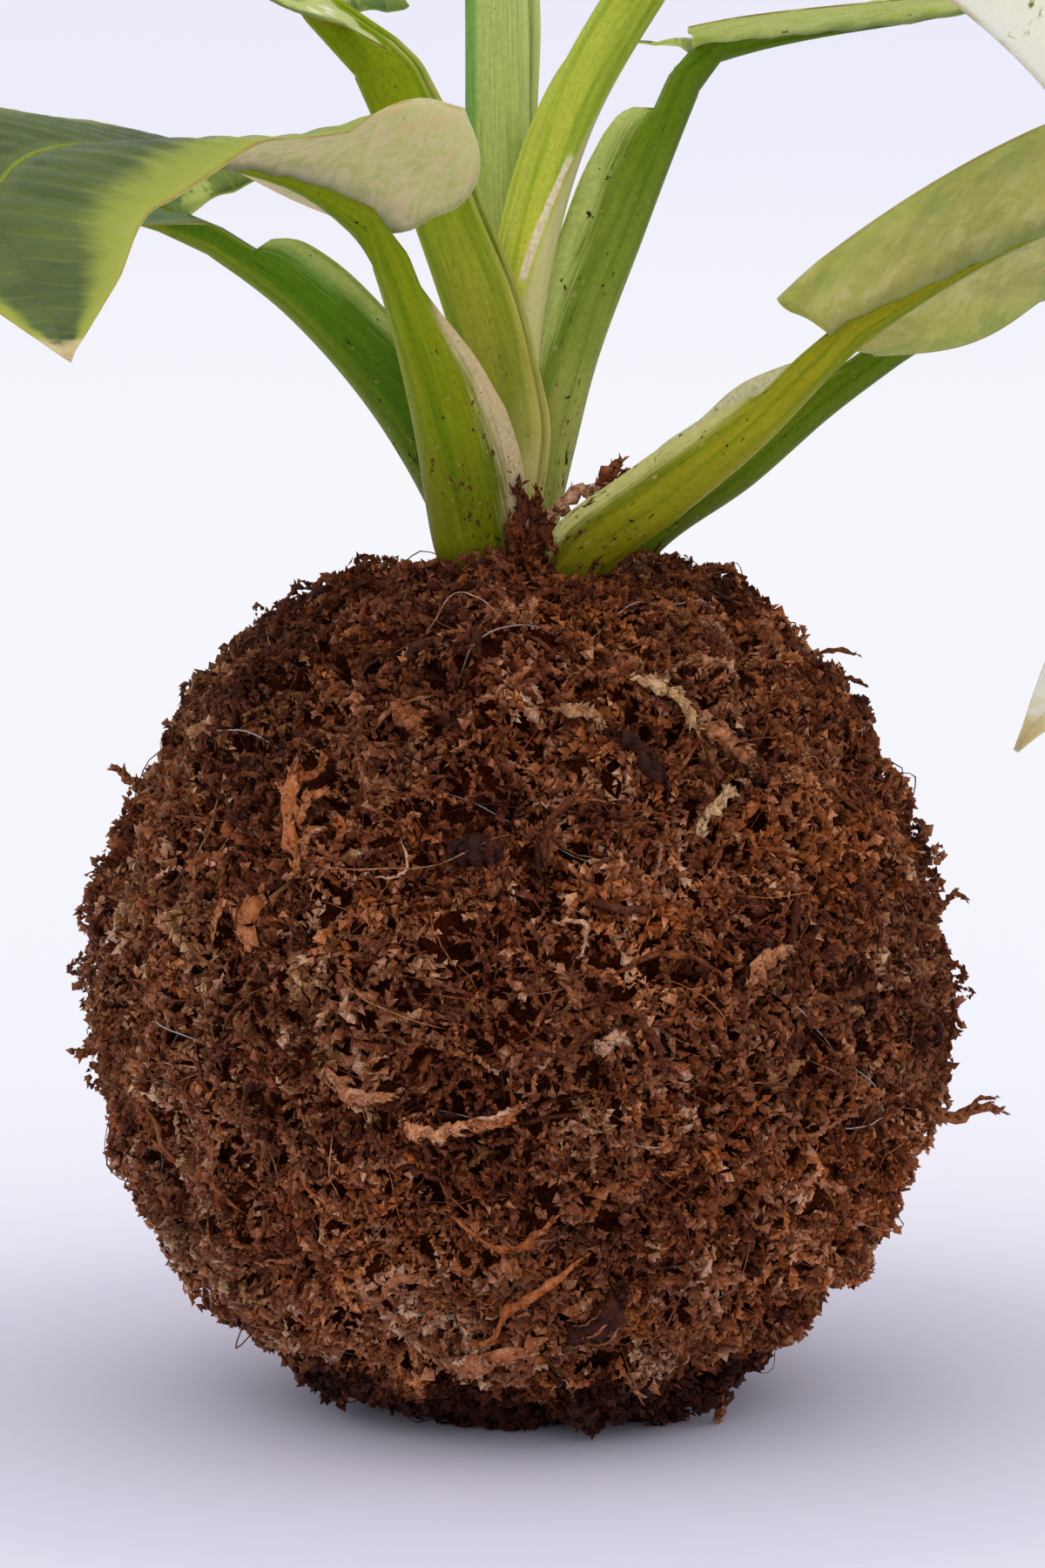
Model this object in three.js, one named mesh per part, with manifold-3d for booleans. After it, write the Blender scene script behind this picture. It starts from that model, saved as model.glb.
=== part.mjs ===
// A kokedama: a foliage plant with winged leaf stalks, growing out of a ball of soil wrapped in brown moss.
// Millimetres, +Z up. The origin is the middle of the small flat spot that the ball rests on.
import * as THREE from "three";
import { mergeVertices } from "three/addons/utils/BufferGeometryUtils.js";
import Module from "manifold-3d";

const wasm = await Module();
wasm.setup();

// Driving dimensions of the ball
const BALL_RADIUS = 49.2;
const BALL_HEIGHT = 46; // of the ball's centre, less than its radius, so that a flat spot is left
const SHOULDER = { rise: 3.0, elevation: 0.97, spread: 0.34 }; // the ball is fuller high up
const CORE_RADIUS = 37.7;
const GAP = 0.3; // between pieces that touch
const MOSS_DETAIL = 10;
const CORE_DETAIL = 3;

// Driving dimensions of the moss relief: each wave is a direction and wavelength, a height and a phase
const LUMPS = [
  { wave: [0.31, 0.22, -0.27], height: 0.55, phase: 0.4 },
  { wave: [-0.24, 0.36, 0.19], height: 0.55, phase: 1.9 },
  { wave: [0.52, -0.47, 0.33], height: 0.42, phase: 0.9 },
  { wave: [-0.43, -0.38, 0.61], height: 0.42, phase: 2.6 },
  { wave: [0.29, 0.71, 0.48], height: 0.36, phase: 4.1 },
];
const MOUND = { x: 0.5, y: -7.5, height: 4.2, spread: 5.5 }; // moss heaped against the stalks
const SPRIGS = {
  count: 52,
  length: 6.2,
  root: 1.25, // radius of the rooted end
  sunk: 2.0, // how deep it is rooted
  lean: 1.1, // sideways for each unit outwards
  scatter: 0.5, // radians off an even spiral
  highest: 0.86, // as a share of the ball's radius above its centre
  span: 1.5, // and how far down from there they reach
  seed: 11,
};

// Driving dimensions of the cane and of the mouth in the moss that the inner stalks leave by
const CANE = { x: 0, y: 1.4, radius: 5, low: 56, high: 93, sides: 20 };
const MOUTH = { x: -0.3, y: 1.4, halfX: 5.6, halfY: 8.1 };

// The binding thread: each loop is a level ring tipped by tilt towards the compass direction heading
const THREAD = { radius: 0.4, proud: 1.5, sides: 4, steps: 32 };
const THREAD_LOOPS = [
  { tilt: 0.21, heading: -0.8 },
  { tilt: 0.694, heading: 0.759 },
  { tilt: 1.09, heading: 2.2 },
];

const BLADE = {
  thickness: 0.7,
  ridge: 3.0, // extra thickness under the midrib at the base
  fold: 0.22, // how steeply each half rises from the midrib
  cup: 0.0045, // and how much it levels off again towards the edge
  wave: 1.3,
  waves: 13,
  rows: 12,
  columns: [0, 0.08, 0.32, 0.66, 1], // shares of the half width
  widest: 0.36, // the share of its length at which it is widest
  base: 0.42, // its width at the base as a share of the widest
  flareLength: 0.1, // the share of its length over which a one-sided flare dies away
};
// The curve of a lobe's end from the midrib to the edge, and how much wider the blade's first half starts
const ROUND = { power: 1.4, cut: 0.2, cutPower: 7, flare: 0 };
const STALK = {
  wingThickness: 0.8,
  rings: 9,
  fade: 4.5, // length that the wings round off over where a leaf gives none
  swell: 0.3, // the share of its length over which it reaches its full girth
  wingStart: 0.05, // the share of its length below which it has no wings
  flat: 0.66, // how far the flat of a wingless stalk is from its middle, in radii
  groove: 0.3, // the same for the floor of the groove between the wings
  wingFoot: 0.72, // how far from the middle a wing's height is counted, in radii
};
const STALK_BACK = [160, 200, 235, 270, 305, 340, 380]; // degrees round its middle, over its round back

// Each leaf: its stalk's line with the direction its wings face, its radius at the base, middle and top,
// how far up the wings reach and how high they stand; where the wings differ from the others, the length
// they fade over, the share of the stalk at which they are full, and whether they end in a point.
// Then the midrib's line with the way the blade faces, how far the base of each half reaches back past
// the stalk's end, how steeply the base is folded, and the ear of a half that starts as a round lobe.
const LEAVES = {
  front_left: {
    stalk: [
      [-3, -4.8, 86], [-5.9, -8, 96.5], [-8.6, -12, 110.5], [-11.6, -16.2, 121],
      [-15.6, -22, 132.8],
    ],
    wingSide: [0.9, 0.35, 0.2],
    radius: [2.6, 4, 2.2],
    sheath: 0.86,
    wing: 4.6,
    fade: 17,
    pointed: true,
    midrib: [
      [-24, -31, 138.5], [-35, -44, 140.5], [-47, -62, 140], [-50, -85, 134], [-44, -104, 125],
      [-40, -117, 119],
    ],
    faces: [
      [-0.42, 0.06, 0.9], [0, -0.12, 0.98], [0.1, -0.25, 0.95], [0.17, -0.41, 0.85],
      [0.1, -0.65, 0.75],
    ],
    halfWidth: 22,
    lobes: [15.5, 2],
    fold: 0.43,
    ear: { power: 0.6, cut: 1.15, cutPower: 3, flare: 0.26 },
  },
  left: {
    stalk: [[-4.4, 4, 88], [-6.6, 5.4, 100], [-13.7, 7.4, 113], [-25.4, 11.3, 125.4], [-39, 14, 134.9]],
    wingSide: [0.6, -0.15, 0.75],
    radius: [2.6, 3.6, 2],
    sheath: 0.86,
    wing: 3.8,
    midrib: [[-62, 19, 139.5], [-89, 27, 142], [-115, 36, 134], [-134, 42, 116]],
    faces: [
      [-0.35, -0.2, 0.88], [-0.2, -0.1, 0.95], [0, -0.2, 0.94], [-0.3, -0.3, 0.9],
      [-0.6, -0.25, 0.7],
    ],
    halfWidth: 24,
    lobes: [8, 8],
  },
  upper_left: {
    stalk: [
      [-0.4, -4.2, 93.5], [-1.4, -4.4, 103], [-4.2, -4.2, 119], [-11.2, -4.3, 139],
      [-18.6, -5, 155.8],
    ],
    wingSide: [0.8, -0.35, 0.5],
    radius: [2.5, 3.4, 2.7],
    sheath: 0.95,
    wing: 3,
    midrib: [[-36, -8, 171], [-60, -13, 181], [-87, -19, 178], [-110, -25, 161]],
    faces: [
      [-0.5, -0.2, 0.8], [-0.25, -0.3, 0.9], [0, -0.4, 0.9], [-0.3, -0.4, 0.85], [-0.65, -0.3, 0.7],
    ],
    halfWidth: 25,
    lobes: [7, 7],
  },
  top: {
    stalk: [[-3.2, 2.6, 93.5], [-3.4, 3.6, 104], [-4.2, 8, 128], [-4.6, 13, 158], [-5.5, 19, 186]],
    wingSide: [0.85, -0.5, 0],
    radius: [2, 2.7, 2.1],
    sheath: 0.88,
    wing: 4.6,
    midrib: [[-7, 31, 211], [-10, 52, 230], [-14, 80, 234], [-18, 106, 220]],
    faces: [[0.1, -0.9, 0.4], [0.05, -0.75, 0.66], [0, -0.4, 0.9], [0, 0.1, 1], [0, 0.5, 0.85]],
    halfWidth: 24,
    lobes: [7, 7],
  },
  upper_right: {
    stalk: [[-1, 3, 93.5], [-1.2, 2.6, 104], [-1.2, 2.6, 122], [4.6, 1.5, 145.7], [17.6, -3, 168.1]],
    wingSide: [-0.75, 0.5, 0.4],
    radius: [2.2, 3.1, 3.2],
    sheath: 0.74,
    wing: 1.2,
    fade: 20,
    midrib: [[37, -21, 176], [57, -43, 169], [72, -59, 149], [75, -66, 119], [49.5, -60, 79.5]],
    faces: [
      [-0.5, 0.1, 0.85], [-0.35, -0.3, 0.9], [-0.3, -0.6, 0.75], [0.05, -0.9, 0.42],
      [0.15, -0.98, 0.1], [0.1, -0.97, -0.2],
    ],
    halfWidth: 22.5,
    lobes: [8, 8],
  },
  right_back: {
    stalk: [[1, 3.6, 93.5], [1.5, 4.2, 103], [4.6, 5.8, 118], [11.4, 9.6, 135], [19.8, 17, 154.7]],
    wingSide: [-0.85, -0.1, 0.35],
    radius: [2.4, 3.4, 2.3],
    sheath: 0.86,
    wing: 4.2,
    rise: 0.62,
    midrib: [[42, 25, 159.5], [71, 35, 163], [100, 45, 156], [123, 52, 139]],
    faces: [[-0.45, -0.14, 0.87], [-0.15, -0.05, 0.98], [0, 0, 1], [0.35, 0, 0.9], [0.65, 0, 0.7]],
    halfWidth: 23,
    lobes: [6, 5],
    fold: 0.06,
  },
  right_front: {
    stalk: [
      [3.6, -4.4, 86], [6.6, -11.6, 97], [15.6, -15, 104.2], [24.6, -17.6, 111.4],
      [33.6, -20, 120.6],
    ],
    wingSide: [-0.4, 0.15, 0.85],
    radius: [2.7, 3.2, 2.2],
    sheath: 0.8,
    wing: 2.2,
    fade: 16,
    midrib: [[58, -13, 134.2], [84, -10, 141], [111, -9, 137], [133, -9, 120]],
    faces: [
      [-0.5, 0.6, 0.6], [-0.35, 0.45, 0.8], [-0.1, 0.3, 0.95], [0.35, 0.2, 0.9], [0.65, 0.1, 0.72],
    ],
    halfWidth: 21,
    lobes: [-7, 6.5],
    fold: 0.02,
  },
  right_low: {
    stalk: [[6.2, 4.4, 86], [13.4, 7, 98.4], [24.9, 9.5, 106.6], [34.1, 12, 114.2], [45, 15.2, 122]],
    wingSide: [-0.62, -0.05, 0.78],
    radius: [2.4, 2.7, 2.2],
    sheath: 0.83,
    wing: 5.6,
    fade: 16,
    rise: 0.5,
    midrib: [[67, 29, 128.5], [87, 51, 129], [105, 74, 120], [117, 91, 101]],
    faces: [
      [-0.4, -0.3, 0.85], [-0.15, -0.3, 0.93], [0.05, -0.2, 0.97], [0.4, 0.1, 0.9],
      [0.6, 0.3, 0.72],
    ],
    halfWidth: 22,
    lobes: [4, 4],
  },
};

const COLOURS = {
  moss: { color: 0x6b4730, roughness: 0.95 },
  soil: { color: 0x2b1d15, roughness: 0.98 },
  thread: { color: 0xd9d4cf, roughness: 0.25 },
  cane: { color: 0x8a9a45, roughness: 0.6 },
  stalk: { color: 0x86a43a, roughness: 0.45 },
  blade: { color: 0xa9bd7a, roughness: 0.5 },
};

const vector = (a) => new THREE.Vector3(...a);
const smooth = (a, b, x) => THREE.MathUtils.smoothstep(x, a, b);

// A repeatable random number from 0 to 1 (the mulberry32 recipe)
function seeded(seed) {
  let state = seed >>> 0;
  return () => {
    state = (state + 0x6d2b79f5) >>> 0;
    let t = Math.imul(state ^ (state >>> 15), 1 | state);
    t = (t + Math.imul(t ^ (t >>> 7), 61 | t)) ^ t;
    return ((t ^ (t >>> 14)) >>> 0) / 4294967296;
  };
}

// A closed geometry as a solid that can be joined and cut
function solidOf(geometry) {
  const bare = geometry.clone();
  bare.deleteAttribute("normal");
  bare.deleteAttribute("uv");
  const merged = mergeVertices(bare, 1e-4);
  const vertProperties = new Float32Array(merged.attributes.position.array);
  const triVerts = new Uint32Array(merged.index.array);
  return new wasm.Manifold(new wasm.Mesh({ numProp: 3, vertProperties, triVerts }));
}

// A solid back as a geometry; of a solid in several bodies only the largest is kept
function geometryOf(solid) {
  const bodies = solid.decompose();
  const largest = bodies.reduce((a, b) => (a.volume() > b.volume() ? a : b));
  const mesh = largest.getMesh();
  const geometry = new THREE.BufferGeometry();
  geometry.setAttribute("position", new THREE.BufferAttribute(mesh.vertProperties, 3));
  geometry.setIndex(new THREE.BufferAttribute(mesh.triVerts, 1));
  return geometry;
}

// A closed body through rings of points, one ring after another, with a flat cap on each end
function loft(rings, outline) {
  const count = outline.length;
  const points = rings.flat();
  const caps = THREE.ShapeUtils.triangulateShape(outline, []);
  const last = (rings.length - 1) * count;
  const faces = [];
  for (let r = 0; r + 1 < rings.length; r++)
    for (let i = 0; i < count; i++) {
      const a = r * count + i;
      const b = r * count + ((i + 1) % count);
      faces.push(a, b, a + count, b, b + count, a + count);
    }
  for (const [a, b, c] of caps) faces.push(a, c, b, last + a, last + b, last + c);
  const geometry = new THREE.BufferGeometry().setFromPoints(points);
  geometry.setIndex(faces);
  return geometry;
}

// How far the moss reaches from the ball's centre in a direction: a round ball with fuller shoulders,
// a heap in front of the stalks, and the sum of a few waves for its lumps.
function mossReach(direction) {
  const elevation = Math.asin(direction.z);
  const off = (elevation - SHOULDER.elevation) / SHOULDER.spread;
  const shoulder = SHOULDER.rise * Math.exp(-off * off);
  const at = direction.clone().multiplyScalar(BALL_RADIUS);
  const away = Math.hypot(at.x - MOUND.x, at.y - MOUND.y) / MOUND.spread;
  const mound = direction.z > 0 ? MOUND.height * Math.exp(-away * away) : 0;
  let lumps = 0;
  for (const { wave, height, phase } of LUMPS) lumps += height * Math.sin(at.dot(vector(wave)) + phase);
  return BALL_RADIUS + shoulder + mound + lumps;
}

// The outer skin of the moss as a closed body, before anything is cut from it
function mossBody() {
  const geometry = new THREE.IcosahedronGeometry(1, MOSS_DETAIL);
  const position = geometry.getAttribute("position");
  for (let i = 0; i < position.count; i++) {
    const direction = new THREE.Vector3().fromBufferAttribute(position, i).normalize();
    const p = direction.clone().multiplyScalar(mossReach(direction));
    position.setXYZ(i, p.x, p.y, p.z + BALL_HEIGHT);
  }
  return solidOf(geometry);
}

// A sprig of moss: a slim three-sided spike, rooted in the moss and leaning along it
function sprig(direction, lean, size) {
  const shape = new THREE.ConeGeometry(SPRIGS.root * size, SPRIGS.length * size, 3);
  shape.translate(0, (SPRIGS.length * size) / 2 - SPRIGS.sunk, 0);
  const along = direction.clone().addScaledVector(lean, SPRIGS.lean).normalize();
  shape.applyQuaternion(new THREE.Quaternion().setFromUnitVectors(new THREE.Vector3(0, 1, 0), along));
  const foot = direction.clone().multiplyScalar(mossReach(direction));
  shape.translate(foot.x, foot.y, foot.z + BALL_HEIGHT);
  return solidOf(shape);
}

// The sprigs, spread evenly round the ball on a golden-angle spiral and clear of the floor and the stalks
function sprigs() {
  const random = seeded(SPRIGS.seed);
  const turn = Math.PI * (3 - Math.sqrt(5));
  const made = [];
  for (let i = 0; i < SPRIGS.count; i++) {
    const z = SPRIGS.highest - (SPRIGS.span * (i + 0.5)) / SPRIGS.count;
    const angle = i * turn + SPRIGS.scatter * random();
    const flat = Math.sqrt(1 - z * z);
    const direction = new THREE.Vector3(flat * Math.cos(angle), flat * Math.sin(angle), z);
    const lean = new THREE.Vector3(random() - 0.5, random() - 0.5, random() - 0.5);
    lean.addScaledVector(direction, -lean.dot(direction)).normalize();
    made.push(sprig(direction, lean, 0.8 + 0.45 * random()));
  }
  return made;
}

// One loop of the thread, lying on the lumps of the ball: a great circle tipped by tilt towards heading
function threadLoop({ tilt, heading }, radius) {
  const turned = new THREE.Quaternion()
    .setFromAxisAngle(new THREE.Vector3(0, 0, 1), heading)
    .multiply(new THREE.Quaternion().setFromAxisAngle(new THREE.Vector3(0, 1, 0), tilt));
  const position = [];
  const faces = [];
  for (let i = 0; i < THREAD.steps; i++) {
    const angle = (i / THREAD.steps) * 2 * Math.PI;
    const out = new THREE.Vector3(Math.cos(angle), Math.sin(angle), 0).applyQuaternion(turned);
    const across = new THREE.Vector3(0, 0, 1).applyQuaternion(turned);
    const off = (Math.asin(out.z) - SHOULDER.elevation) / SHOULDER.spread;
    const reach = BALL_RADIUS + SHOULDER.rise * Math.exp(-off * off) + THREAD.proud;
    for (let k = 0; k < THREAD.sides; k++) {
      const side = (k / THREAD.sides) * 2 * Math.PI;
      const p = out.clone().multiplyScalar(reach + radius * Math.cos(side));
      p.addScaledVector(across, radius * Math.sin(side));
      position.push(p.x, p.y, p.z + BALL_HEIGHT);
      const next = ((i + 1) % THREAD.steps) * THREAD.sides;
      const here = i * THREAD.sides;
      const on = (k + 1) % THREAD.sides;
      faces.push(here + k, next + k, here + on, next + k, next + on, here + on);
    }
  }
  const geometry = new THREE.BufferGeometry();
  geometry.setAttribute("position", new THREE.Float32BufferAttribute(position, 3));
  geometry.setIndex(faces);
  return solidOf(geometry);
}

const threadBody = (radius) => wasm.Manifold.union(THREAD_LOOPS.map((loop) => threadLoop(loop, radius)));

// The outline of a stalk across its length, about its own middle, with the wings towards +y.
// radius is that of the round back, height how high the wings stand over it; with no height it is a D.
function stalkOutline(radius, height, grow) {
  const r = radius + grow;
  const open = Math.min(1, height / 1.5);
  const tip = radius * STALK.wingFoot + height + grow;
  const outer = THREE.MathUtils.lerp(r * STALK.flat, r * 0.5, open);
  const inner = grow > 0 ? outer * 0.3 : Math.max(outer - STALK.wingThickness, r * 0.12);
  const floor = grow > 0 ? tip : THREE.MathUtils.lerp(radius * STALK.flat, radius * STALK.groove, open);
  const back = STALK_BACK.map((degrees) => {
    const a = THREE.MathUtils.degToRad(degrees);
    return new THREE.Vector2(r * Math.cos(a), r * Math.sin(a));
  });
  return [
    ...back,
    new THREE.Vector2(outer, tip),
    new THREE.Vector2(inner, tip * 0.97),
    new THREE.Vector2(inner * 0.6, floor),
    new THREE.Vector2(-inner * 0.6, floor),
    new THREE.Vector2(-inner, tip * 0.97),
    new THREE.Vector2(-outer, tip),
  ];
}

// A leaf stalk: its round back with two wings that stop short of the blade in a rounded lobe
function stalkBody(leaf, grow) {
  const curve = new THREE.CatmullRomCurve3(leaf.stalk.map(vector));
  const length = curve.getLength();
  const fade = (leaf.fade ?? STALK.fade) / length;
  const stations = new Set();
  for (let i = 0; i < STALK.rings; i++) stations.add(i / (STALK.rings - 1));
  for (const back of [0.9, 0.45, 0.12, 0]) stations.add(leaf.sheath - back * fade);
  const kept = [...stations].sort((a, b) => a - b).filter((t, i, all) => i === 0 || t - all[i - 1] > 0.008);
  const [base, middle, top] = leaf.radius;
  const rings = kept.map((t) => {
    const full = THREE.MathUtils.lerp(base, middle, smooth(0, STALK.swell, t));
    const radius = THREE.MathUtils.lerp(full, top, smooth(STALK.swell, 1, t));
    const rise = smooth(STALK.wingStart, leaf.rise ?? STALK.swell, t);
    const left = THREE.MathUtils.clamp((leaf.sheath - t) / fade, 0, 1);
    const height = leaf.wing * rise * (leaf.pointed ? left : Math.sqrt(1 - (1 - left) * (1 - left)));
    const along = curve.getTangentAt(t);
    const wings = vector(leaf.wingSide);
    wings.addScaledVector(along, -wings.dot(along)).normalize();
    const across = new THREE.Vector3().crossVectors(wings, along);
    const middlePoint = curve.getPointAt(t);
    if (grow > 0 && t === 0) middlePoint.addScaledVector(along, -grow);
    if (grow > 0 && t === 1) middlePoint.addScaledVector(along, grow);
    const outline = stalkOutline(radius, height, grow);
    return outline.map((p) => middlePoint.clone().addScaledVector(across, p.x).addScaledVector(wings, p.y));
  });
  return solidOf(loft(rings, stalkOutline(middle, 0, grow)));
}

// The blade's width from its base to its tip, as a share of the widest: a quick swell, then a long taper
function bladeProfile(u) {
  const { widest, base } = BLADE;
  if (u < widest) return base + (1 - base) * Math.sin(((u / widest) * Math.PI) / 2);
  const fall = (u - widest) / (1 - widest);
  return Math.max(Math.pow(Math.cos((fall * Math.PI) / 2), 0.95), 0.025);
}

// How far back a lobe reaches at share v of the half width, before the blade's first row
function lobeReach(leaf, v) {
  const { power, cut, cutPower } = v < 0 && leaf.ear ? leaf.ear : ROUND;
  const wide = Math.abs(v);
  return leaf.lobes[v < 0 ? 0 : 1] * (Math.pow(wide, power) - cut * Math.pow(wide, cutPower));
}

// A leaf blade: a thin sheet about its midrib, folded up a little along it, waved at the edge and
// thick under the midrib, with two round lobes that reach back past the top of the stalk.
function bladeBody(leaf) {
  const face = leaf.faces.map(vector);
  const end = vector(leaf.stalk[leaf.stalk.length - 1]);
  const first = end.clone().addScaledVector(face[0].clone().normalize(), leaf.radius[2] * 0.75);
  const toNext = vector(leaf.midrib[0]).sub(first).normalize();
  const curve = new THREE.CatmullRomCurve3([first.addScaledVector(toNext, GAP), ...leaf.midrib.map(vector)]);
  const length = curve.getLength();
  const columns = [...BLADE.columns.slice(1).reverse().map((c) => -c), ...BLADE.columns];
  const upper = [];
  const lower = [];
  for (let r = 0; r < BLADE.rows; r++) {
    const u = r / (BLADE.rows - 1);
    for (const v of columns) {
      const along = u * length - Math.pow(1 - u, 3) * lobeReach(leaf, v);
      const t = Math.max(along / length, 0);
      const tangent = curve.getTangentAt(t);
      const step = t * (face.length - 1);
      const k = Math.min(Math.floor(step), face.length - 2);
      const normal = face[k].clone().normalize().lerp(face[k + 1].clone().normalize(), step - k);
      normal.addScaledVector(tangent, -normal.dot(tangent)).normalize();
      const side = new THREE.Vector3().crossVectors(tangent, normal);
      const flare = -Math.sign(v) * (leaf.ear ?? ROUND).flare * Math.exp(-u / BLADE.flareLength);
      const width = v * leaf.halfWidth * (bladeProfile(u) + flare);
      const steep = THREE.MathUtils.lerp(leaf.fold ?? BLADE.fold, BLADE.fold, smooth(0.05, 0.35, u));
      const fold = steep * Math.abs(width) - BLADE.cup * width * width;
      const wave = BLADE.wave * v * v * Math.sin(u * BLADE.waves + (v > 0 ? 0.6 : 2.4)) * (1 - u);
      const p = curve.getPointAt(t).addScaledVector(tangent, Math.min(along, 0));
      p.addScaledVector(side, width).addScaledVector(normal, fold + wave);
      const ridge = Math.abs(v) < 0.1 ? BLADE.ridge * Math.pow(1 - u, 1.2) : 0;
      upper.push(p);
      lower.push(p.clone().addScaledVector(normal, -BLADE.thickness - ridge));
    }
  }
  return solidOf(sheet(upper, lower, columns.length));
}

// A closed body between two grids of points that share their rows and columns
function sheet(upper, lower, columns) {
  const rows = upper.length / columns;
  const under = upper.length;
  const faces = [];
  for (let r = 0; r + 1 < rows; r++)
    for (let c = 0; c + 1 < columns; c++) {
      const a = r * columns + c;
      const [b, d, e] = [a + 1, a + columns, a + columns + 1];
      faces.push(a, b, d, b, e, d);
      faces.push(under + a, under + d, under + b, under + b, under + d, under + e);
    }
  const rim = [];
  for (let c = 0; c + 1 < columns; c++) rim.push(c);
  for (let r = 0; r + 1 < rows; r++) rim.push(r * columns + columns - 1);
  for (let c = columns - 1; c > 0; c--) rim.push((rows - 1) * columns + c);
  for (let r = rows - 1; r > 0; r--) rim.push(r * columns);
  rim.forEach((a, i) => {
    const b = rim[(i + 1) % rim.length];
    faces.push(b, a, under + a, b, under + a, under + b);
  });
  const geometry = new THREE.BufferGeometry().setFromPoints([...upper, ...lower]);
  geometry.setIndex(faces);
  return geometry;
}

// An upright round or oval post between two heights, turned from a profile that starts and ends on its axis
function post(x, y, halfX, halfY, low, high, sides) {
  const profile = [[0, low], [1, low], [1, high], [0, high]].map(([r, h]) => new THREE.Vector2(r, h));
  const geometry = new THREE.LatheGeometry(profile, sides);
  geometry.rotateX(Math.PI / 2);
  geometry.scale(halfX, halfY, 1);
  geometry.translate(x, y, 0);
  return solidOf(geometry);
}

// A round body about the ball's centre
function roundBody(radius, detail) {
  return solidOf(new THREE.IcosahedronGeometry(radius, detail).translate(0, 0, BALL_HEIGHT));
}

const canePost = (grow) => {
  const radius = CANE.radius + grow;
  return post(CANE.x, CANE.y, radius, radius, CANE.low - grow, CANE.high + grow, CANE.sides);
};
const cane = canePost(0);
const caneHole = canePost(GAP);

// The stalks in the order they were cut: each later one gives way to those before it
const stalks = {};
const grown = {};
for (const [name, leaf] of Object.entries(LEAVES)) {
  let stalk = stalkBody(leaf, 0).subtract(caneHole);
  for (const earlier of Object.values(grown)) stalk = stalk.subtract(earlier);
  stalks[name] = stalk;
  grown[name] = stalkBody(leaf, GAP + 0.05);
}

const blades = {};
for (const [name, leaf] of Object.entries(LEAVES)) {
  let blade = bladeBody(leaf);
  for (const stalk of Object.values(grown)) blade = blade.subtract(stalk);
  blades[name] = blade;
}

const holes = wasm.Manifold.union([...Object.values(grown), caneHole]);
const mouth = post(MOUTH.x, MOUTH.y, MOUTH.halfX, MOUTH.halfY, CANE.high - 12, CANE.high + 20, 24);
const core = roundBody(CORE_RADIUS, CORE_DETAIL).subtract(holes);
const floor = solidOf(new THREE.BoxGeometry(200, 200, 40).translate(0, 0, -20));
const moss = wasm.Manifold.union([mossBody(), ...sprigs()])
  .subtract(roundBody(CORE_RADIUS + GAP, CORE_DETAIL))
  .subtract(mouth)
  .subtract(holes)
  .subtract(threadBody(THREAD.radius + GAP))
  .subtract(floor);

const kokedama = new THREE.Group();
function place(name, solid, colour) {
  const material = new THREE.MeshStandardMaterial({ ...COLOURS[colour], metalness: 0 });
  const mesh = new THREE.Mesh(geometryOf(solid), material);
  mesh.name = name;
  kokedama.add(mesh);
}

place("soil_core", core, "soil");
place("moss_wrap", moss, "moss");
place("binding_thread", threadBody(THREAD.radius), "thread");
place("cane", cane, "cane");
for (const [name, stalk] of Object.entries(stalks)) place(`stalk_${name}`, stalk, "stalk");
for (const [name, blade] of Object.entries(blades)) place(`blade_${name}`, blade, "blade");

export default kokedama;
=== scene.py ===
# %% [markdown]
# A kokedama is a potted plant without its pot: a ball of soil, wrapped in damp moss and bound with thread,
# with the plant growing out of its top. This lesson dresses the plain solids of such a ball with thousands
# of little moss leaves, loose fibres, soft stalks and patterned leaf blades. The solids are the frame: each
# piece made here repeats their measures, so that everything fits without being moved.

# %% The frame
import math
import bpy
import numpy as np
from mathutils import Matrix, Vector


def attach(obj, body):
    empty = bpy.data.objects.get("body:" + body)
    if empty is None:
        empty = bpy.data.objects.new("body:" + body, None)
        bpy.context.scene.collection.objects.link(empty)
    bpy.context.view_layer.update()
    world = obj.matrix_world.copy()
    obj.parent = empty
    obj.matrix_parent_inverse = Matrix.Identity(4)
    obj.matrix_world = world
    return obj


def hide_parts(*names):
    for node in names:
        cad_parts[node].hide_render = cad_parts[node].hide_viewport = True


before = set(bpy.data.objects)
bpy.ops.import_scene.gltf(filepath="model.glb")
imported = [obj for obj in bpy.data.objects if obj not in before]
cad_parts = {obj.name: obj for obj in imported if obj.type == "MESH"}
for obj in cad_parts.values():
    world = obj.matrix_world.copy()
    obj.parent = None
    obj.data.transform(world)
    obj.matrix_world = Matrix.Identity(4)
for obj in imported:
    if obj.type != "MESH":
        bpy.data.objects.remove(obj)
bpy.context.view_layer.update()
MM = 0.001

# %% [markdown]
# The picture is taken from a little above the middle of the ball, from half a metre away, with a long lens.
# A long lens flattens the ball less than a short one and keeps the stalks parallel. "Standard" shows each
# colour as it is mixed, without the film look that Blender puts over a picture by itself.

# %% The camera
CAMERA_PLACE = (-0.0003, -0.5149, 0.1184)
CAMERA_DOWN = math.radians(5.30)
LENS, SENSOR = 103.88, 36.0


def add_object(name, data):
    """An object in the scene at the origin, unturned and unscaled."""
    made = bpy.data.objects.new(name, data)
    bpy.context.scene.collection.objects.link(made)
    return made


camera_data = bpy.data.cameras.new("camera")
camera_data.lens, camera_data.sensor_width, camera_data.clip_start = LENS, SENSOR, 0.01
camera = add_object("camera", camera_data)
camera.location = CAMERA_PLACE
camera.rotation_euler = (math.radians(90) - CAMERA_DOWN, 0, 0)
bpy.context.scene.camera = camera
bpy.context.scene.view_settings.view_transform = "Standard"
print("camera:", CAMERA_PLACE, "lens", LENS)

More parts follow.
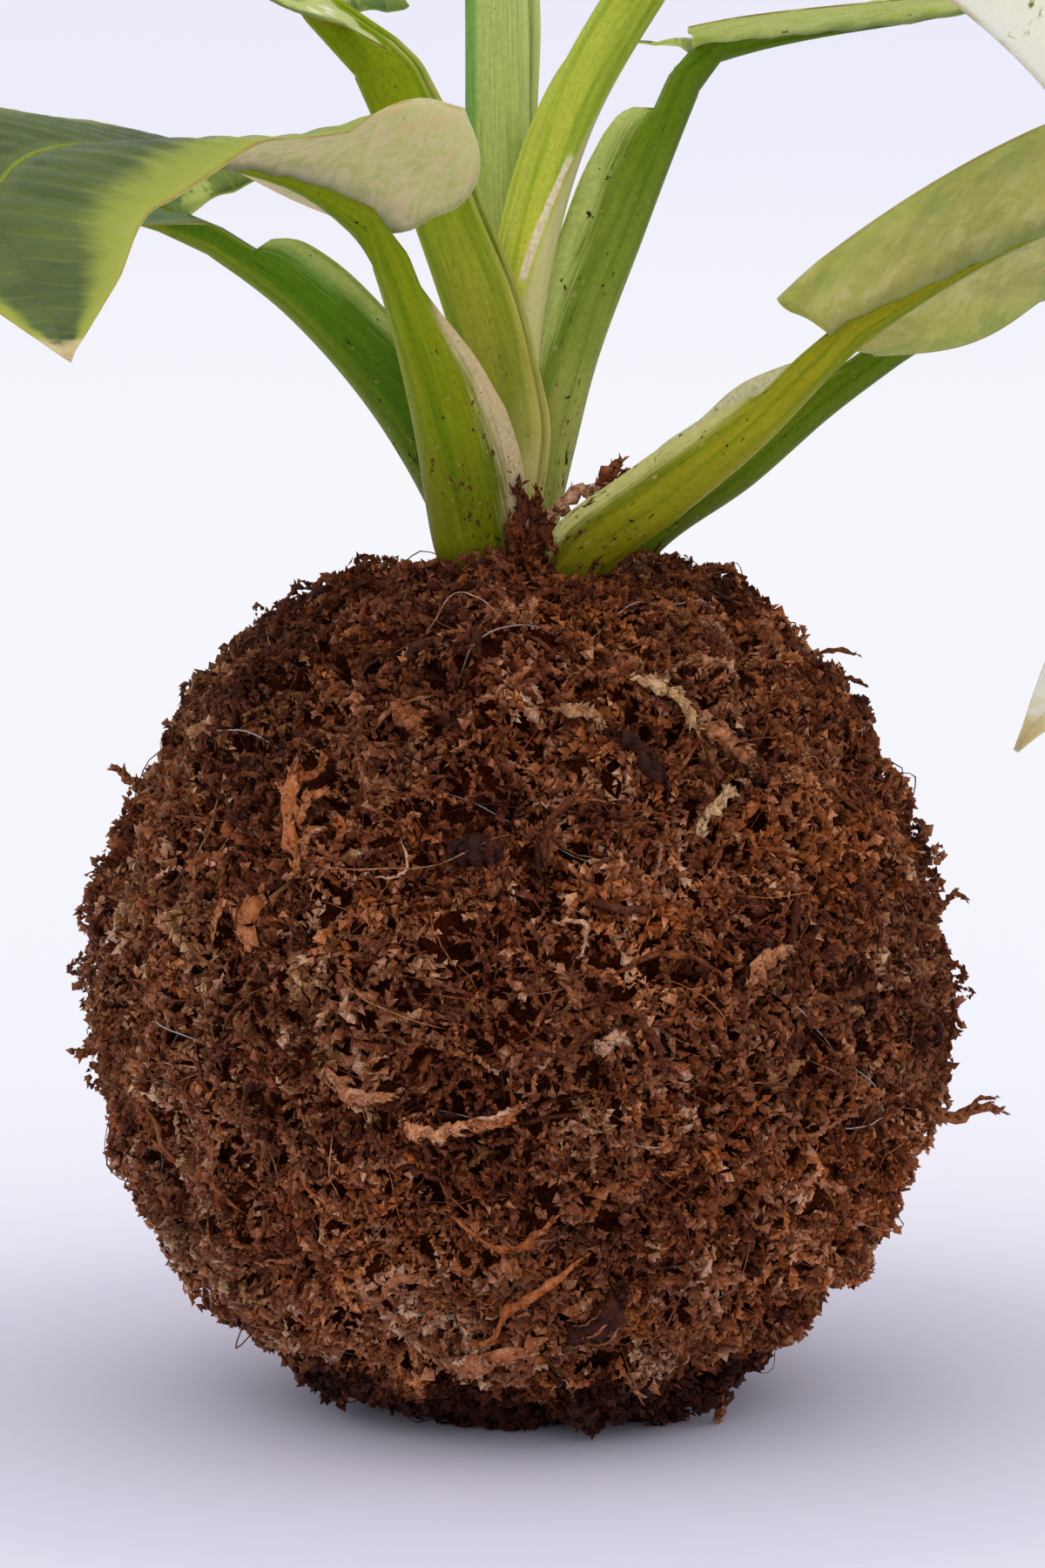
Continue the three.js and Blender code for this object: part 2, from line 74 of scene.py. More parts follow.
# %% [markdown]
# The pieces could be modelled by hand or grown with particles. Here each is a set of whole arrays instead:
# points in millimetres, and faces that name three points each. Blender takes such arrays at once, which is
# hundreds of times quicker than adding one vertex after another, and the same numbers give the same plant
# each time. Numbers that belong to a point, such as how dark a moss leaf is, go in as attributes that a
# material reads.

# %% Meshes from arrays
def unit(vectors):
    """Each vector divided by its own length."""
    return vectors / np.maximum(np.linalg.norm(vectors, axis=-1, keepdims=True), 1e-9)


def smooth(low, high, x):
    """0 below low, 1 above high, and in between the S-shaped curve 3s^2 - 2s^3."""
    s = np.clip((x - low) / (high - low), 0, 1)
    return s * s * (3 - 2 * s)


def grid_faces(rows, columns, ring=True, loop=False):
    """Two triangles, a b c and b d c, for each cell of a grid of points: b is beside a, and c and d come under
    them in the next row. A ring joins the last column to the first, and a loop the last row to the first."""
    row, column = np.meshgrid(np.arange(rows - (not loop)), np.arange(columns - (not ring)), indexing="ij")
    a, b = (row * columns + column).ravel(), (row * columns + (column + 1) % columns).ravel()
    c, d = (a + columns) % (rows * columns), (b + columns) % (rows * columns)
    return np.vstack([np.stack([a, b, c], 1), np.stack([b, d, c], 1)])


def make_piece(name, points, faces, material, values=None, rounded=True, replaces=()):
    """Puts points (millimetres) and triangles into a mesh, with one attribute for each entry of values, and
    two numbers a point, named lines, into its UV map."""
    mesh = bpy.data.meshes.new(name)
    mesh.vertices.add(len(points))
    mesh.vertices.foreach_set("co", (points * MM).astype(np.float32).ravel())
    mesh.loops.add(faces.size)
    mesh.loops.foreach_set("vertex_index", faces.astype(np.int32).ravel())
    mesh.polygons.add(len(faces))
    mesh.polygons.foreach_set("loop_start", np.arange(0, faces.size, 3, dtype=np.int32))
    mesh.polygons.foreach_set("use_smooth", np.full(len(faces), rounded))
    for key, numbers in (values or {}).items():
        numbers = numbers.astype(np.float32)
        if key == "lines":
            mesh.uv_layers.new(name="UVMap").data.foreach_set("uv", numbers[faces.ravel()].ravel())
        else:
            mesh.attributes.new(key, "FLOAT", "POINT").data.foreach_set("value", numbers.ravel())
    mesh.materials.append(material)
    mesh.update(calc_edges=True)
    piece = add_object(name, mesh)
    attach(piece, "root")
    if replaces:
        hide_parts(*replaces)
    print(f"{name}: {len(faces)} triangles")

# %% [markdown]
# Moss is never even: it is darker in one place, tufted in the next. A cloud of smooth random numbers gives
# such changes. It is made from random values on the corners of a grid of cubes, blended between the corners.

# %% Random clouds
CLOUD_CELLS, CLOUD_START = 24, 1000.37


def cloud(points, size, seed):
    """A smooth random value from -1 to 1 for each point: the mix of the random numbers on the eight corners
    of the cube it lies in, of a grid of cubes of the given size, weighted by the S-curve of its place."""
    lattice = np.random.default_rng(seed).uniform(-1, 1, (CLOUD_CELLS,) * 3)
    place = points / size + CLOUD_START
    corner = np.floor(place).astype(int)
    part = place - corner
    part = part * part * (3 - 2 * part)
    total = np.zeros(points.shape[:-1])
    for over in np.ndindex(2, 2, 2):
        share = np.prod(np.where(over, part, 1 - part), axis=-1)
        total += share * lattice[tuple(np.moveaxis((corner + over) % CLOUD_CELLS, -1, 0))]
    return total


print("a cloud of 5 mm at three places 9 mm apart:", cloud(9.0 * np.eye(3), 5.0, 1).round(2))

# %% [markdown]
# A material is a recipe of nodes that are wired together. They could be linked one by one, as in the node
# editor, but a recipe of fifty nodes is hard to read that way. Here what comes out of a node is a Wire, and a
# sum or a product of wires adds the Math node for it, so that a recipe reads like a formula.

# %% Wires and nodes
class Wire:
    """What comes out of a node: plus, minus, times and divided by each add a Math node."""

    def __init__(self, tree, socket):
        self.tree, self.socket = tree, socket

    __add__ = __radd__ = lambda self, other: maths("ADD", self, other)
    __mul__ = __rmul__ = lambda self, other: maths("MULTIPLY", self, other)
    __sub__ = lambda self, other: maths("SUBTRACT", self, other)
    __rsub__ = lambda self, other: maths("SUBTRACT", other, self)
    __truediv__ = lambda self, other: maths("DIVIDE", self, other)
    __abs__ = lambda self: maths("ABSOLUTE", self)


def feed(sockets, values):
    """Links wires, or sets numbers and colours, on sockets by number or name; _ stands for a space."""
    for key, value in values.items():
        socket = sockets[key.replace("_", " ") if isinstance(key, str) else key]
        if isinstance(value, Wire):
            value.tree.links.new(value.socket, socket)
        else:
            socket.default_value = (*value, 1.0) if socket.type == "RGBA" else value


def add_node(kind, inputs, out=0, tree=None, **settings):
    """Adds a node to the tree that its inputs come from, and gives its output of that name or number."""
    tree = tree or next(value.tree for value in inputs.values() if isinstance(value, Wire))
    made = tree.nodes.new(kind)
    for key, value in settings.items():
        setattr(made, key, value)
    feed(made.inputs, inputs)
    return Wire(tree, made.outputs[out])


def maths(operation, first, second=0.0):
    """A Math node on one or two numbers."""
    return add_node("ShaderNodeMath", {0: first, 1: second}, operation=operation)

# %% [markdown]
# Most steps of a recipe are of a few kinds: mix two colours, turn a number into a colour along a scale, make a
# soft step of it, or take a random cloud. Each gets a helper of its own.

# %% Steps of a recipe
def mix(factor, first, second, way="MIX"):
    """first and second mixed by factor, as colours."""
    return add_node("ShaderNodeMix", {0: factor, 6: first, 7: second}, 2, data_type="RGBA", blend_type=way)


def ramp(factor, *stops):
    """The colour at factor on a scale of (place, red, green, blue) stops."""
    made = add_node("ShaderNodeValToRGB", {0: factor})
    scale = made.socket.node.color_ramp.elements
    while len(scale) < len(stops):
        scale.new(1.0)
    for element, (place, *tint) in zip(scale, stops):
        element.position, element.color = place, (*tint, 1.0)
    return made


def step(value, low, high, start=0.0, end=1.0):
    """start where value is under low, end where it is over high, and a soft step between."""
    scale = {"Value": value, "From Min": low, "From Max": high, "To Min": start, "To Max": end}
    return add_node("ShaderNodeMapRange", scale, interpolation_type="SMOOTHSTEP")


def noise(place, scale, detail=3.0, rough=0.6, bent=0.0):
    """Random clouds of 1 / scale metres and, detail times, finer ones that are rough times as strong."""
    return add_node("ShaderNodeTexNoise", {
        "Vector": place, "Scale": scale, "Detail": detail, "Roughness": rough, "Distortion": bent})

# %% [markdown]
# Moss, stalks and blades each come in several colours of one finish. So each finish is a node group, built
# once, and its materials place it with their own values. The shader itself stays in the material.

# %% Groups and materials
def attribute(tree, name):
    """A number that each point carries, or the UV map for the lines."""
    if name == "lines":
        return add_node("ShaderNodeUVMap", {}, tree=tree, uv_map="UVMap")
    return add_node("ShaderNodeAttribute", {}, "Fac", tree, attribute_name=name)


def new_group(name, **inputs):
    """A node group with one input for each default, a colour for three numbers and a vector for None, that
    puts out a colour, a roughness and a height. Gives the group and its inputs as wires."""
    group = bpy.data.node_groups.new(name, "ShaderNodeTree")
    kinds = {float: "Float", tuple: "Color", type(None): "Vector"}
    for key, default in inputs.items():
        label = key.replace("_", " ")
        kind = "NodeSocket" + kinds[type(default)]
        socket = group.interface.new_socket(label, in_out="INPUT", socket_type=kind)
        if default is not None:
            socket.default_value = (*default, 1.0) if type(default) is tuple else default
    for label, kind in (("Colour", "Color"), ("Roughness", "Float"), ("Height", "Float")):
        group.interface.new_socket(label, in_out="OUTPUT", socket_type="NodeSocket" + kind)
    given = group.nodes.new("NodeGroupInput").outputs
    return group, [Wire(group, socket) for socket in list(given)[:len(inputs)]]


def close_group(group, colour, roughness, height):
    """Wires what the group puts out."""
    ends = group.nodes.new("NodeGroupOutput").inputs
    feed(ends, {"Colour": colour, "Roughness": roughness, "Height": height})
    print("node group:", group.name, len(group.nodes), "nodes")
    return group


def new_material(name, **fixed):
    """A material, its Principled shader with the fixed inputs, and the Object coordinates."""
    material = bpy.data.materials.new(name)
    material.use_nodes = True
    shader = material.node_tree.nodes["Principled BSDF"]
    feed(shader.inputs, fixed)
    return material, shader, add_node("ShaderNodeTexCoord", {}, "Object", material.node_tree)


def finish_material(shader, colour, roughness, height, strength, size):
    """Feeds the shader its colour, its roughness and a bump from height, as strong and high as given."""
    bump = add_node("ShaderNodeBump", {"Height": height, "Strength": strength, "Distance": size})
    feed(shader.inputs, {"Base Color": colour, "Roughness": roughness, "Normal": bump})


def skin_material(name, group, reads, strength, size, tints, **fixed):
    """A material from a group, which reads the named attributes of the piece and takes the tints."""
    material, shader, place = new_material(name, **fixed)
    read = {key.title(): attribute(place.tree, key) for key in reads}
    skin = add_node("ShaderNodeGroup", {"Place": place, **read, **tints}, node_tree=group).socket.node.outputs
    finish_material(shader, *(Wire(place.tree, socket) for socket in skin), strength, size)
    return material

# %% [markdown]
# The ball's skin follows the same sum of waves as the solid moss: a round ball, fuller at the shoulder, with
# heaps against the stalks and a few long waves for its lumps. Everything of moss is laid on this skin. A
# formula of the direction is better here than a sculpted mesh, because it tells how high any leaf has to lie.

# %% The skin of the ball
BALL_RADIUS, BALL_HEIGHT = 49.2, 46.0
CENTRE = np.array([0.0, 0.0, BALL_HEIGHT])
SHOULDER_RISE, SHOULDER_ELEVATION, SHOULDER_SPREAD = 3.0, 0.97, 0.34
RIGHT_DRAWN_IN = 1.5
HEAPS = [(0.5, -7.5, 4.2, 5.5), (18.0, 1.0, 2.4, 7.0), (-15.5, -1.0, 1.5, 4.5)]
LUMPS = [
    ((0.31, 0.22, -0.27), 0.55, 0.4), ((-0.24, 0.36, 0.19), 0.55, 1.9), ((0.52, -0.47, 0.33), 0.42, 0.9),
    ((-0.43, -0.38, 0.61), 0.42, 2.6), ((0.29, 0.71, 0.48), 0.36, 4.1),
]


def moss_reach(direction):
    """How far the moss reaches from the ball's centre in a direction: the radius, plus a bell curve of the
    elevation for the shoulder, bell curves of the distance from each heap, and the sine waves of the lumps,
    less an S-curve that draws in the right side."""
    elevation = np.arcsin(np.clip(direction[..., 2], -1, 1))
    shoulder = SHOULDER_RISE * np.exp(-((elevation - SHOULDER_ELEVATION) / SHOULDER_SPREAD) ** 2)
    at = direction * BALL_RADIUS
    heap = sum(height * np.exp(-((at[..., 0] - x) ** 2 + (at[..., 1] - y) ** 2) / spread ** 2)
               for x, y, height, spread in HEAPS)
    mound = np.where(direction[..., 2] > 0, heap, 0)
    lumps = sum(height * np.sin(at @ np.array(wave) + phase) for wave, height, phase in LUMPS)
    return BALL_RADIUS + shoulder + mound + lumps - RIGHT_DRAWN_IN * smooth(0.35, 0.95, direction[..., 0])


def tuft(direction):
    """How much a place stands out in tufts or sinks into gaps, in millimetres: two sizes of cloud."""
    at = direction * BALL_RADIUS
    return 1.15 * cloud(at, 7.0, 5) + 0.75 * cloud(at, 3.4, 6)


def above_floor(points, least=0.1):
    """The points, with any that lie under the floor lifted onto it."""
    points[..., 2] = np.maximum(points[..., 2], least)
    return points


print(f"the moss reaches {float(moss_reach(np.array([0, 0, 1.0]))):.1f} mm above the ball's centre")

# %% [markdown]
# Damp peat moss has many browns at once: red-brown and rust where old stems show, and light tan at the tips of
# thin leaves, partly their own paler colour and partly painted light, as if it came through them. Near the floor
# and deep in the tufts the moss is painted nearly black, which is painted shade. One node group mixes these from
# three numbers that each little leaf carries: its tone, how rusty it is, and how near its tip. Rust below nought
# stands for ochre.

# %% The colours of moss
def make_moss_group():
    """Three scales of brown by tone: rust above nought mixes in the second, and rust below it the third."""
    group, (place, tone, rust, tip, speckle) = new_group(
        "moss_browns", Place=None, Tone=0.5, Rust=0.0, Tip=0.0, Speckle=0.25)
    fine = mix(0.5, noise(place, 900.0), noise(place, 2600.0, 2.0))
    patch = noise(place, 130.0)
    # painted light and shade: each leaf is lighter towards its tip, partly its own paler tip and partly painted
    # light coming through it, and darker at its foot, which is painted shade deep in the tuft
    tone = tone + (tip - 0.3) * 0.22 + (fine - 0.5) * speckle + (patch - 0.5) * 0.3
    brown = ramp(tone, (0.0, 0.020, 0.003, 0.001), (0.25, 0.064, 0.0105, 0.0025), (0.5, 0.164, 0.041, 0.0135),
                 (0.72, 0.285, 0.108, 0.048), (0.88, 0.42, 0.205, 0.120), (1.0, 0.58, 0.37, 0.25))
    rusty = ramp(tone, (0.0, 0.024, 0.004, 0.001), (0.3, 0.100, 0.020, 0.004), (0.6, 0.30, 0.078, 0.014),
                 (0.85, 0.54, 0.180, 0.060), (1.0, 0.70, 0.34, 0.15))
    ochre = ramp(tone, (0.0, 0.020, 0.006, 0.002), (0.3, 0.070, 0.024, 0.006), (0.6, 0.22, 0.090, 0.030),
                 (0.85, 0.44, 0.240, 0.090), (1.0, 0.68, 0.43, 0.20))
    body = mix(maths("MAXIMUM", rust, 0.0), brown, rusty)
    body = mix(maths("MAXIMUM", rust * -1.0, 0.0), body, ochre)
    return close_group(group, body, step(fine, 1.1, 0.1, 0.38, 0.85), fine)


MOSS_READS = ("tone", "rust", "tip")
moss_group = make_moss_group()
moss_material = skin_material(
    "damp_moss", moss_group, MOSS_READS, strength=0.8, size=0.0004, tints={"Speckle": 1.25},
    Specular_IOR_Level=0.2)
bed_material = skin_material(
    "moss_bed", moss_group, MOSS_READS, strength=1.0, size=0.0012, tints={"Speckle": 1.5},
    Specular_IOR_Level=0.04)

# %% [markdown]
# Under the leaves lies the bed, the imported and matted moss that closes every gap. A sphere with a Displace
# modifier would do, but a closed skin on a grid of longitude and latitude can use the same formula as the
# leaves. It is roughened by four clouds and set a little under the ball's surface, so that it only shows
# between the tufts. Its dark tone there is partly the old moss's own and partly painted shade, and it is
# painted darker still in its hollows and near the floor.

# %% The bed of the moss
BED_AROUND, BED_DOWN, BED_DEPTH = 300, 140, 2.7
BED_TONE, BED_RUST, BED_LEAST = 0.19, 0.25, 0.05
# painted shade near the floor: FOOT_SHADE darker below FOOT_LOW mm, none above FOOT_HEIGHT mm
FOOT_LOW, FOOT_HEIGHT, FOOT_SHADE = 4.2, 9.8, 0.85


def foot_shade(points):
    """How much shade is painted on the moss near the floor, under the ball: an S-curve of the height, which
    waves.
    """
    x, y, z = np.moveaxis(points, -1, 0)
    wavy = z + 1.2 * np.sin(0.45 * x + 1) + 0.8 * np.sin(0.9 * x + 0.7 * y)
    return FOOT_SHADE * (1 - smooth(FOOT_LOW, FOOT_HEIGHT, wavy))


def moss_bed():
    """A grid of angles: each point lies in its direction at the reach of the moss, less the depth of the bed,
    plus clouds of 7, 3.4, 2.4 and 1.2 mm. The poles are one point each."""
    around = np.linspace(0, 2 * np.pi, BED_AROUND, endpoint=False)
    down = np.linspace(0, np.pi, BED_DOWN + 1)[1:-1]
    turn, tilt = np.meshgrid(around, down)
    grid = np.stack([np.sin(tilt) * np.cos(turn), np.sin(tilt) * np.sin(turn), np.cos(tilt)], axis=-1)
    direction = np.vstack([grid.reshape(-1, 3), [[0, 0, 1], [0, 0, -1]]])
    at = direction * BALL_RADIUS
    relief = 0.8 * tuft(direction) + 0.7 * cloud(at, 2.4, 7) + 0.5 * cloud(at, 1.2, 8)
    points = above_floor(CENTRE + direction * (moss_reach(direction) - BED_DEPTH + relief)[:, None], BED_LEAST)
    ring = np.arange(BED_AROUND)
    beside = (ring + 1) % BED_AROUND
    top, last = np.full(BED_AROUND, turn.size), turn.size - BED_AROUND
    faces = np.vstack([grid_faces(len(down), BED_AROUND)[:, ::-1], np.stack([top, ring, beside], 1),
                       np.stack([top + 1, last + beside, last + ring], 1)])
    # painted shade: darker where the relief sinks and near the floor; the low BED_TONE is partly the old moss's
    # own brown and partly painted shade for the gaps between the tufts
    tone = np.clip(BED_TONE + 0.10 * relief + 0.08 * cloud(at, 9.0, 9) - foot_shade(points), 0.0, 0.5)
    rust = np.clip(BED_RUST + 0.5 * cloud(at, 6.0, 10), 0, 1)
    return points, faces, {"tone": tone, "rust": rust, "tip": np.zeros(len(points))}


points, faces, values = moss_bed()
make_piece("moss_bed", points, faces, bed_material, values, replaces=("moss_wrap",))

# %% [markdown]
# Sphagnum grows in tufts: short branches that spread from one point, each set with small pointed leaves that
# overlap like scales. All of it is laid along the ball, so first come even starting points on the ball, and
# lines that run from them along its surface.

# %% Laying lines along the ball
GOLDEN_ANGLE = math.pi * (3 - math.sqrt(5))


def spiral(count):
    """Directions spread evenly over the ball: equal steps in height, each turned on by the golden angle."""
    height = 1 - 2 * (np.arange(count) + 0.5) / count
    turn = np.arange(count) * GOLDEN_ANGLE
    flat = np.sqrt(1 - height ** 2)
    return np.stack([flat * np.cos(turn), flat * np.sin(turn), height], axis=1)


def sides_of(points, outward):
    """The directions out of the ball, forward and sideways along lines of points, square to each other."""
    forward = unit(np.gradient(points, axis=1))
    side = unit(np.cross(forward, outward))
    return np.cross(side, forward), forward, side


def lines_on_ball(direction, heading, length, bend, start, middle, end, steps):
    """Lines that start at each direction and run along the ball: place = radius * direction + distance along
    the heading + bend * distance * share of the length to the side, put back on the moss, at heights over it
    that follow the parabola through start, middle and end. Gives points, outward, forward and sideways."""
    s = np.linspace(0, 1, steps)[None]
    level = unit(np.cross(direction, np.array([0.013, 0.021, 1.0])))
    up = np.cross(direction, level)
    cos, sin = np.cos(heading)[:, None], np.sin(heading)[:, None]
    ahead, aside = (cos * level + sin * up)[:, None], (cos * up - sin * level)[:, None]
    run = (length[:, None] * s)[..., None]
    flat = direction[:, None] * BALL_RADIUS + ahead * run + aside * bend[:, None, None] * run * s[..., None]
    outward = unit(flat)
    start, middle, end = start[:, None], middle[:, None], end[:, None]
    height = start * (1 - s) * (1 - 2 * s) + middle * 4 * s * (1 - s) + end * s * (2 * s - 1)
    points = CENTRE + outward * (moss_reach(outward) + 0.8 * tuft(outward) + height)[..., None]
    return points, *sides_of(points, outward)

# %% [markdown]
# One leaf is a thin body of four corners: its foot, two sides that hang a little lower, and its tip. The line
# from foot to tip is then a keel, and light falls differently on the leaf's two halves. Four triangles are
# enough, because a leaf is only a millimetre and a half long and there are over a hundred thousand.

# %% Leaves on a line
LEAF_FACES = np.array([[0, 1, 3], [0, 3, 2], [0, 2, 1], [1, 2, 3]])
LEAF_TIP = [0.0, 0.5, 0.5, 1.0]


def leaves_on_lines(points, outward, forward, side, size, width, splay, roll, curl, thick):
    """Four corners for each leaf, at each station of each line. The leaf starts thick off the line and leans
    off it by the angle splay, towards the direction that is turned by roll round the line; its tip curls up
    by curl."""
    size, width, splay, roll, curl = (x[..., None] for x in (size, width, splay, roll, curl))
    out = np.cos(roll) * outward + np.sin(roll) * side
    ahead = np.cos(splay) * forward + np.sin(splay) * out
    above = np.cos(splay) * out - np.sin(splay) * forward
    across = np.cross(ahead, above) * width / 2
    foot = points - 0.15 * size * ahead + thick * above
    belly = foot + 0.45 * size * ahead - above * (0.34 * width)
    tip = foot + size * ahead + curl * size * above
    return above_floor(np.stack([foot, belly + across, belly - across, tip], axis=-2).reshape(-1, 3))


def repeat_faces(one, count, corners):
    """The faces of one shape repeated for count copies that have the given number of corners each."""
    return (one[None] + (np.arange(count) * corners)[:, None, None]).reshape(-1, 3)

# %% [markdown]
# A tuft is nine branches round one middle. Near tufts have near colours, as they grew from one plant, so tone
# and rust come from clouds on the ball, and only a part of them is each tuft's own. Hair particles could grow
# such tufts too, but as plain meshes they also come along when the model is exported.

# %% The tufts
def browns_at(at, random, rusty, spread):
    """The tone and the rust of things at places on the ball: S-curves of the height and of the side, clouds of
    12, 5 and 13 mm, a random share of their own, and more rust on the part of them called rusty."""
    x, y, z = at.T
    # painted light and shade: the S-curves of the height and of the side make the moss lighter low down and to
    # the left, and darker at the top and to the right
    tone = 0.46 + 0.06 * smooth(5, -30, z) - 0.07 * smooth(15, 40, z)
    tone = tone + 0.07 * smooth(-10, -38, x) - 0.05 * smooth(5, 38, x)
    tone = tone + 0.19 * cloud(at, 12.0, 21) + 0.21 * cloud(at, 5.0, 22) + random.normal(0, spread, len(at))
    warm = cloud(at, 13.0, 23) + random.normal(0, 0.3, len(at))
    rust = 0.22 + 0.5 * smooth(0.1, 0.9, warm) - 0.7 * smooth(-0.2, -1.0, warm)
    rust = rust + 0.28 * smooth(5, 40, x) - 0.40 * smooth(-10, -40, x)
    rust = np.clip(rust + (random.random(len(at)) < rusty) * random.uniform(0.4, 0.9, len(at)), -0.8, 1)
    return np.clip(tone, 0.08, 0.95), rust


TUFTS, BRANCHES, BRANCH_LEAVES, TUFT_PIECES = 1660, 9, 10, 3
CRUMBS = 0.12


def tufts(seed, count):
    """Branches that spread from the middle of each tuft: they rise out of the moss, arch over and end low. A
    few are crumbs, thicker and paler, that stand out further."""
    random = np.random.default_rng(seed)
    heart = unit(spiral(count) + random.normal(0, 0.02, (count, 3)))
    tone, rust = browns_at(heart * BALL_RADIUS, random, 0.10, 0.09)
    grown = random.uniform(0.75, 1.3, count)
    pick = np.repeat(np.arange(count), BRANCHES)
    branches = len(pick)
    direction = unit(heart[pick] + random.normal(0, 0.036, (branches, 3)))
    heading = np.tile(np.arange(BRANCHES) * 2 * np.pi / BRANCHES, count) + random.normal(0, 1.2, branches)
    length = random.uniform(2.2, 4.4, branches) * grown[pick]
    loose = random.gamma(1.6, 0.28, branches)
    crumb = (random.random(branches) < CRUMBS) * random.uniform(0.5, 1.0, branches)
    stand = (random.gamma(1.5, 0.45, count) - 0.75)[pick] + 0.5 * crumb
    lines = lines_on_ball(
        direction, heading, length, random.normal(0, 0.25, branches),
        random.uniform(-1.9, -0.9, branches) + 0.7 * stand, 0.45 * loose + 0.7 * stand - 0.4,
        0.7 * loose + 0.45 * stand - 1.4, BRANCH_LEAVES)
    shape = lines[0].shape[:2]
    share = np.linspace(0, 1, BRANCH_LEAVES)[None]
    size = random.uniform(0.75, 1.5, shape) * (1 - 0.3 * share ** 2) * (grown[pick] + 0.15 * crumb)[:, None]
    thick = (random.uniform(0.12, 0.50, branches) + 0.4 * crumb)[:, None] * (1.1 - 0.8 * share ** 2)
    corners = leaves_on_lines(
        *lines, size, size * random.uniform(0.62, 1.15, shape), random.uniform(0.02, 0.45, shape),
        random.uniform(-2.3, 2.3, shape), random.normal(0.02, 0.12, shape), thick[..., None])
    own = tone[pick] + random.normal(0, 0.09, branches) + 0.16 * crumb
    hue = np.clip(rust[pick] + random.normal(0, 0.28, branches), -0.9, 1)
    # painted shade: foot_shade darkens the branches near the floor; each branch is also darker at its foot and
    # lighter towards its end, partly its own paler growth and partly painted shade deep in the tuft
    each = own[:, None] + random.normal(0, 0.05, shape) + 0.20 * (share - 0.45) - foot_shade(lines[0])
    values = {"tone": np.repeat(np.clip(each, 0.02, 0.98).ravel(), 4),
              "rust": np.repeat(hue, 4 * BRANCH_LEAVES), "tip": np.tile(LEAF_TIP, each.size)}
    return corners, each.size, values


corners, leaf_count, values = tufts(101, TUFTS)
for part in range(TUFT_PIECES):
    own = slice(leaf_count * part // TUFT_PIECES * 4, leaf_count * (part + 1) // TUFT_PIECES * 4)
    faces = repeat_faces(LEAF_FACES, (own.stop - own.start) // 4, 4)
    make_piece(f"moss_tufts_{part + 1}", corners[own], faces, moss_material,
               {key: numbers[own] for key, numbers in values.items()}, rounded=False)

# %% [markdown]
# Through the tufts run strands: old stems of moss, bark fibres and roots, from hair-thin to nearly a
# millimetre. A curve with a round bevel would be too even for them. Each is a tube of a few sides along a
# line, flattened, ragged in its width and pointed at both ends.

# %% Strands
STRAND_TIP, ROUGH_SPREAD = 0.3, 0.16


def close_tube(rings, corners):
    """The triangles of a tube through rings of corners, with a flat fan at each end."""
    fan = np.arange(1, corners - 1)
    zero, last = np.zeros_like(fan), (rings - 1) * corners
    return np.vstack([grid_faces(rings, corners), np.stack([zero, fan + 1, fan], 1),
                      last + np.stack([zero, fan, fan + 1], 1)])


def tubes(points, outward, side, width, flatness, sides, ragged, random):
    """Tubes along lines: corner = point - side * half width * cos + outward * half width * flatness * sin,
    with a width that falls to nothing at both ends and jumps by the share ragged from ring to ring."""
    lines, steps = points.shape[:2]
    s = np.linspace(-1, 1, steps)[None]
    profile = np.sqrt(np.maximum(1 - np.abs(s) ** 3, 0.02)) * (1 + ragged * random.normal(0, 1, (lines, steps)))
    half = (width[:, None] / 2 * np.maximum(profile, 0.12))[..., None, None]
    angle = (np.arange(sides) / sides * 2 * np.pi)[None, None, :, None]
    rings = points[:, :, None] - side[:, :, None] * half * np.cos(angle) \
        + outward[:, :, None] * half * flatness * np.sin(angle)
    return above_floor(rings.reshape(-1, 3)), repeat_faces(close_tube(steps, sides), lines, steps * sides)


def strands(seed, count, length, width, lift, steps, sides, flatness, ragged, dark, rusty):
    """Strands all over the ball; lift is how far their middles and ends may stand off the moss."""
    random = np.random.default_rng(seed)
    direction = unit(spiral(count) + random.normal(0, 0.05, (count, 3)))
    heading = random.uniform(0, 2 * np.pi, count)
    thick = random.uniform(*width, count)
    points, outward, forward, side = lines_on_ball(
        direction, heading, random.uniform(*length, count), random.normal(0, 0.3, count),
        random.uniform(-1.7, -0.3, count), random.gamma(1.5, lift, count) - 0.5,
        random.gamma(1.2, lift, count) - 1.3, steps)
    points = points + 0.25 * np.minimum(thick, 0.5)[:, None, None] * random.normal(0, 1, points.shape)
    corners, faces = tubes(points, outward, side, thick, flatness, sides, ragged, random)
    tone, rust = browns_at(direction * BALL_RADIUS, random, rusty, ROUGH_SPREAD)
    tone = np.clip(tone + dark - foot_shade(points[:, 0]), 0.03, 0.97)
    each = steps * sides
    return corners, faces, {"tone": np.repeat(tone, each), "rust": np.repeat(rust, each),
                            "tip": np.full(count * each, STRAND_TIP)}


LOOSE_STRANDS = {
    "moss_stems": dict(seed=301, count=380, length=(4, 11), width=(0.4, 0.95), lift=0.20, steps=11, sides=5,
                       flatness=0.5, ragged=0.34, dark=-0.02, rusty=0.30),
    "moss_fibres": dict(seed=302, count=900, length=(4, 14), width=(0.10, 0.24), lift=0.40, steps=10, sides=3,
                        flatness=0.9, ragged=0.12, dark=0.0, rusty=0.25),
}
for name, numbers in LOOSE_STRANDS.items():
    points, faces, values = strands(**numbers)
    make_piece(name, points, faces, moss_material, values)

# %% [markdown]
# Single strands, stalks and midribs follow smooth lines through a few marks. The line between two marks is a
# cubic whose slopes come from the marks on both sides, so that it passes every mark without a corner.

# %% Smooth lines
FINE_PLACES = 1501


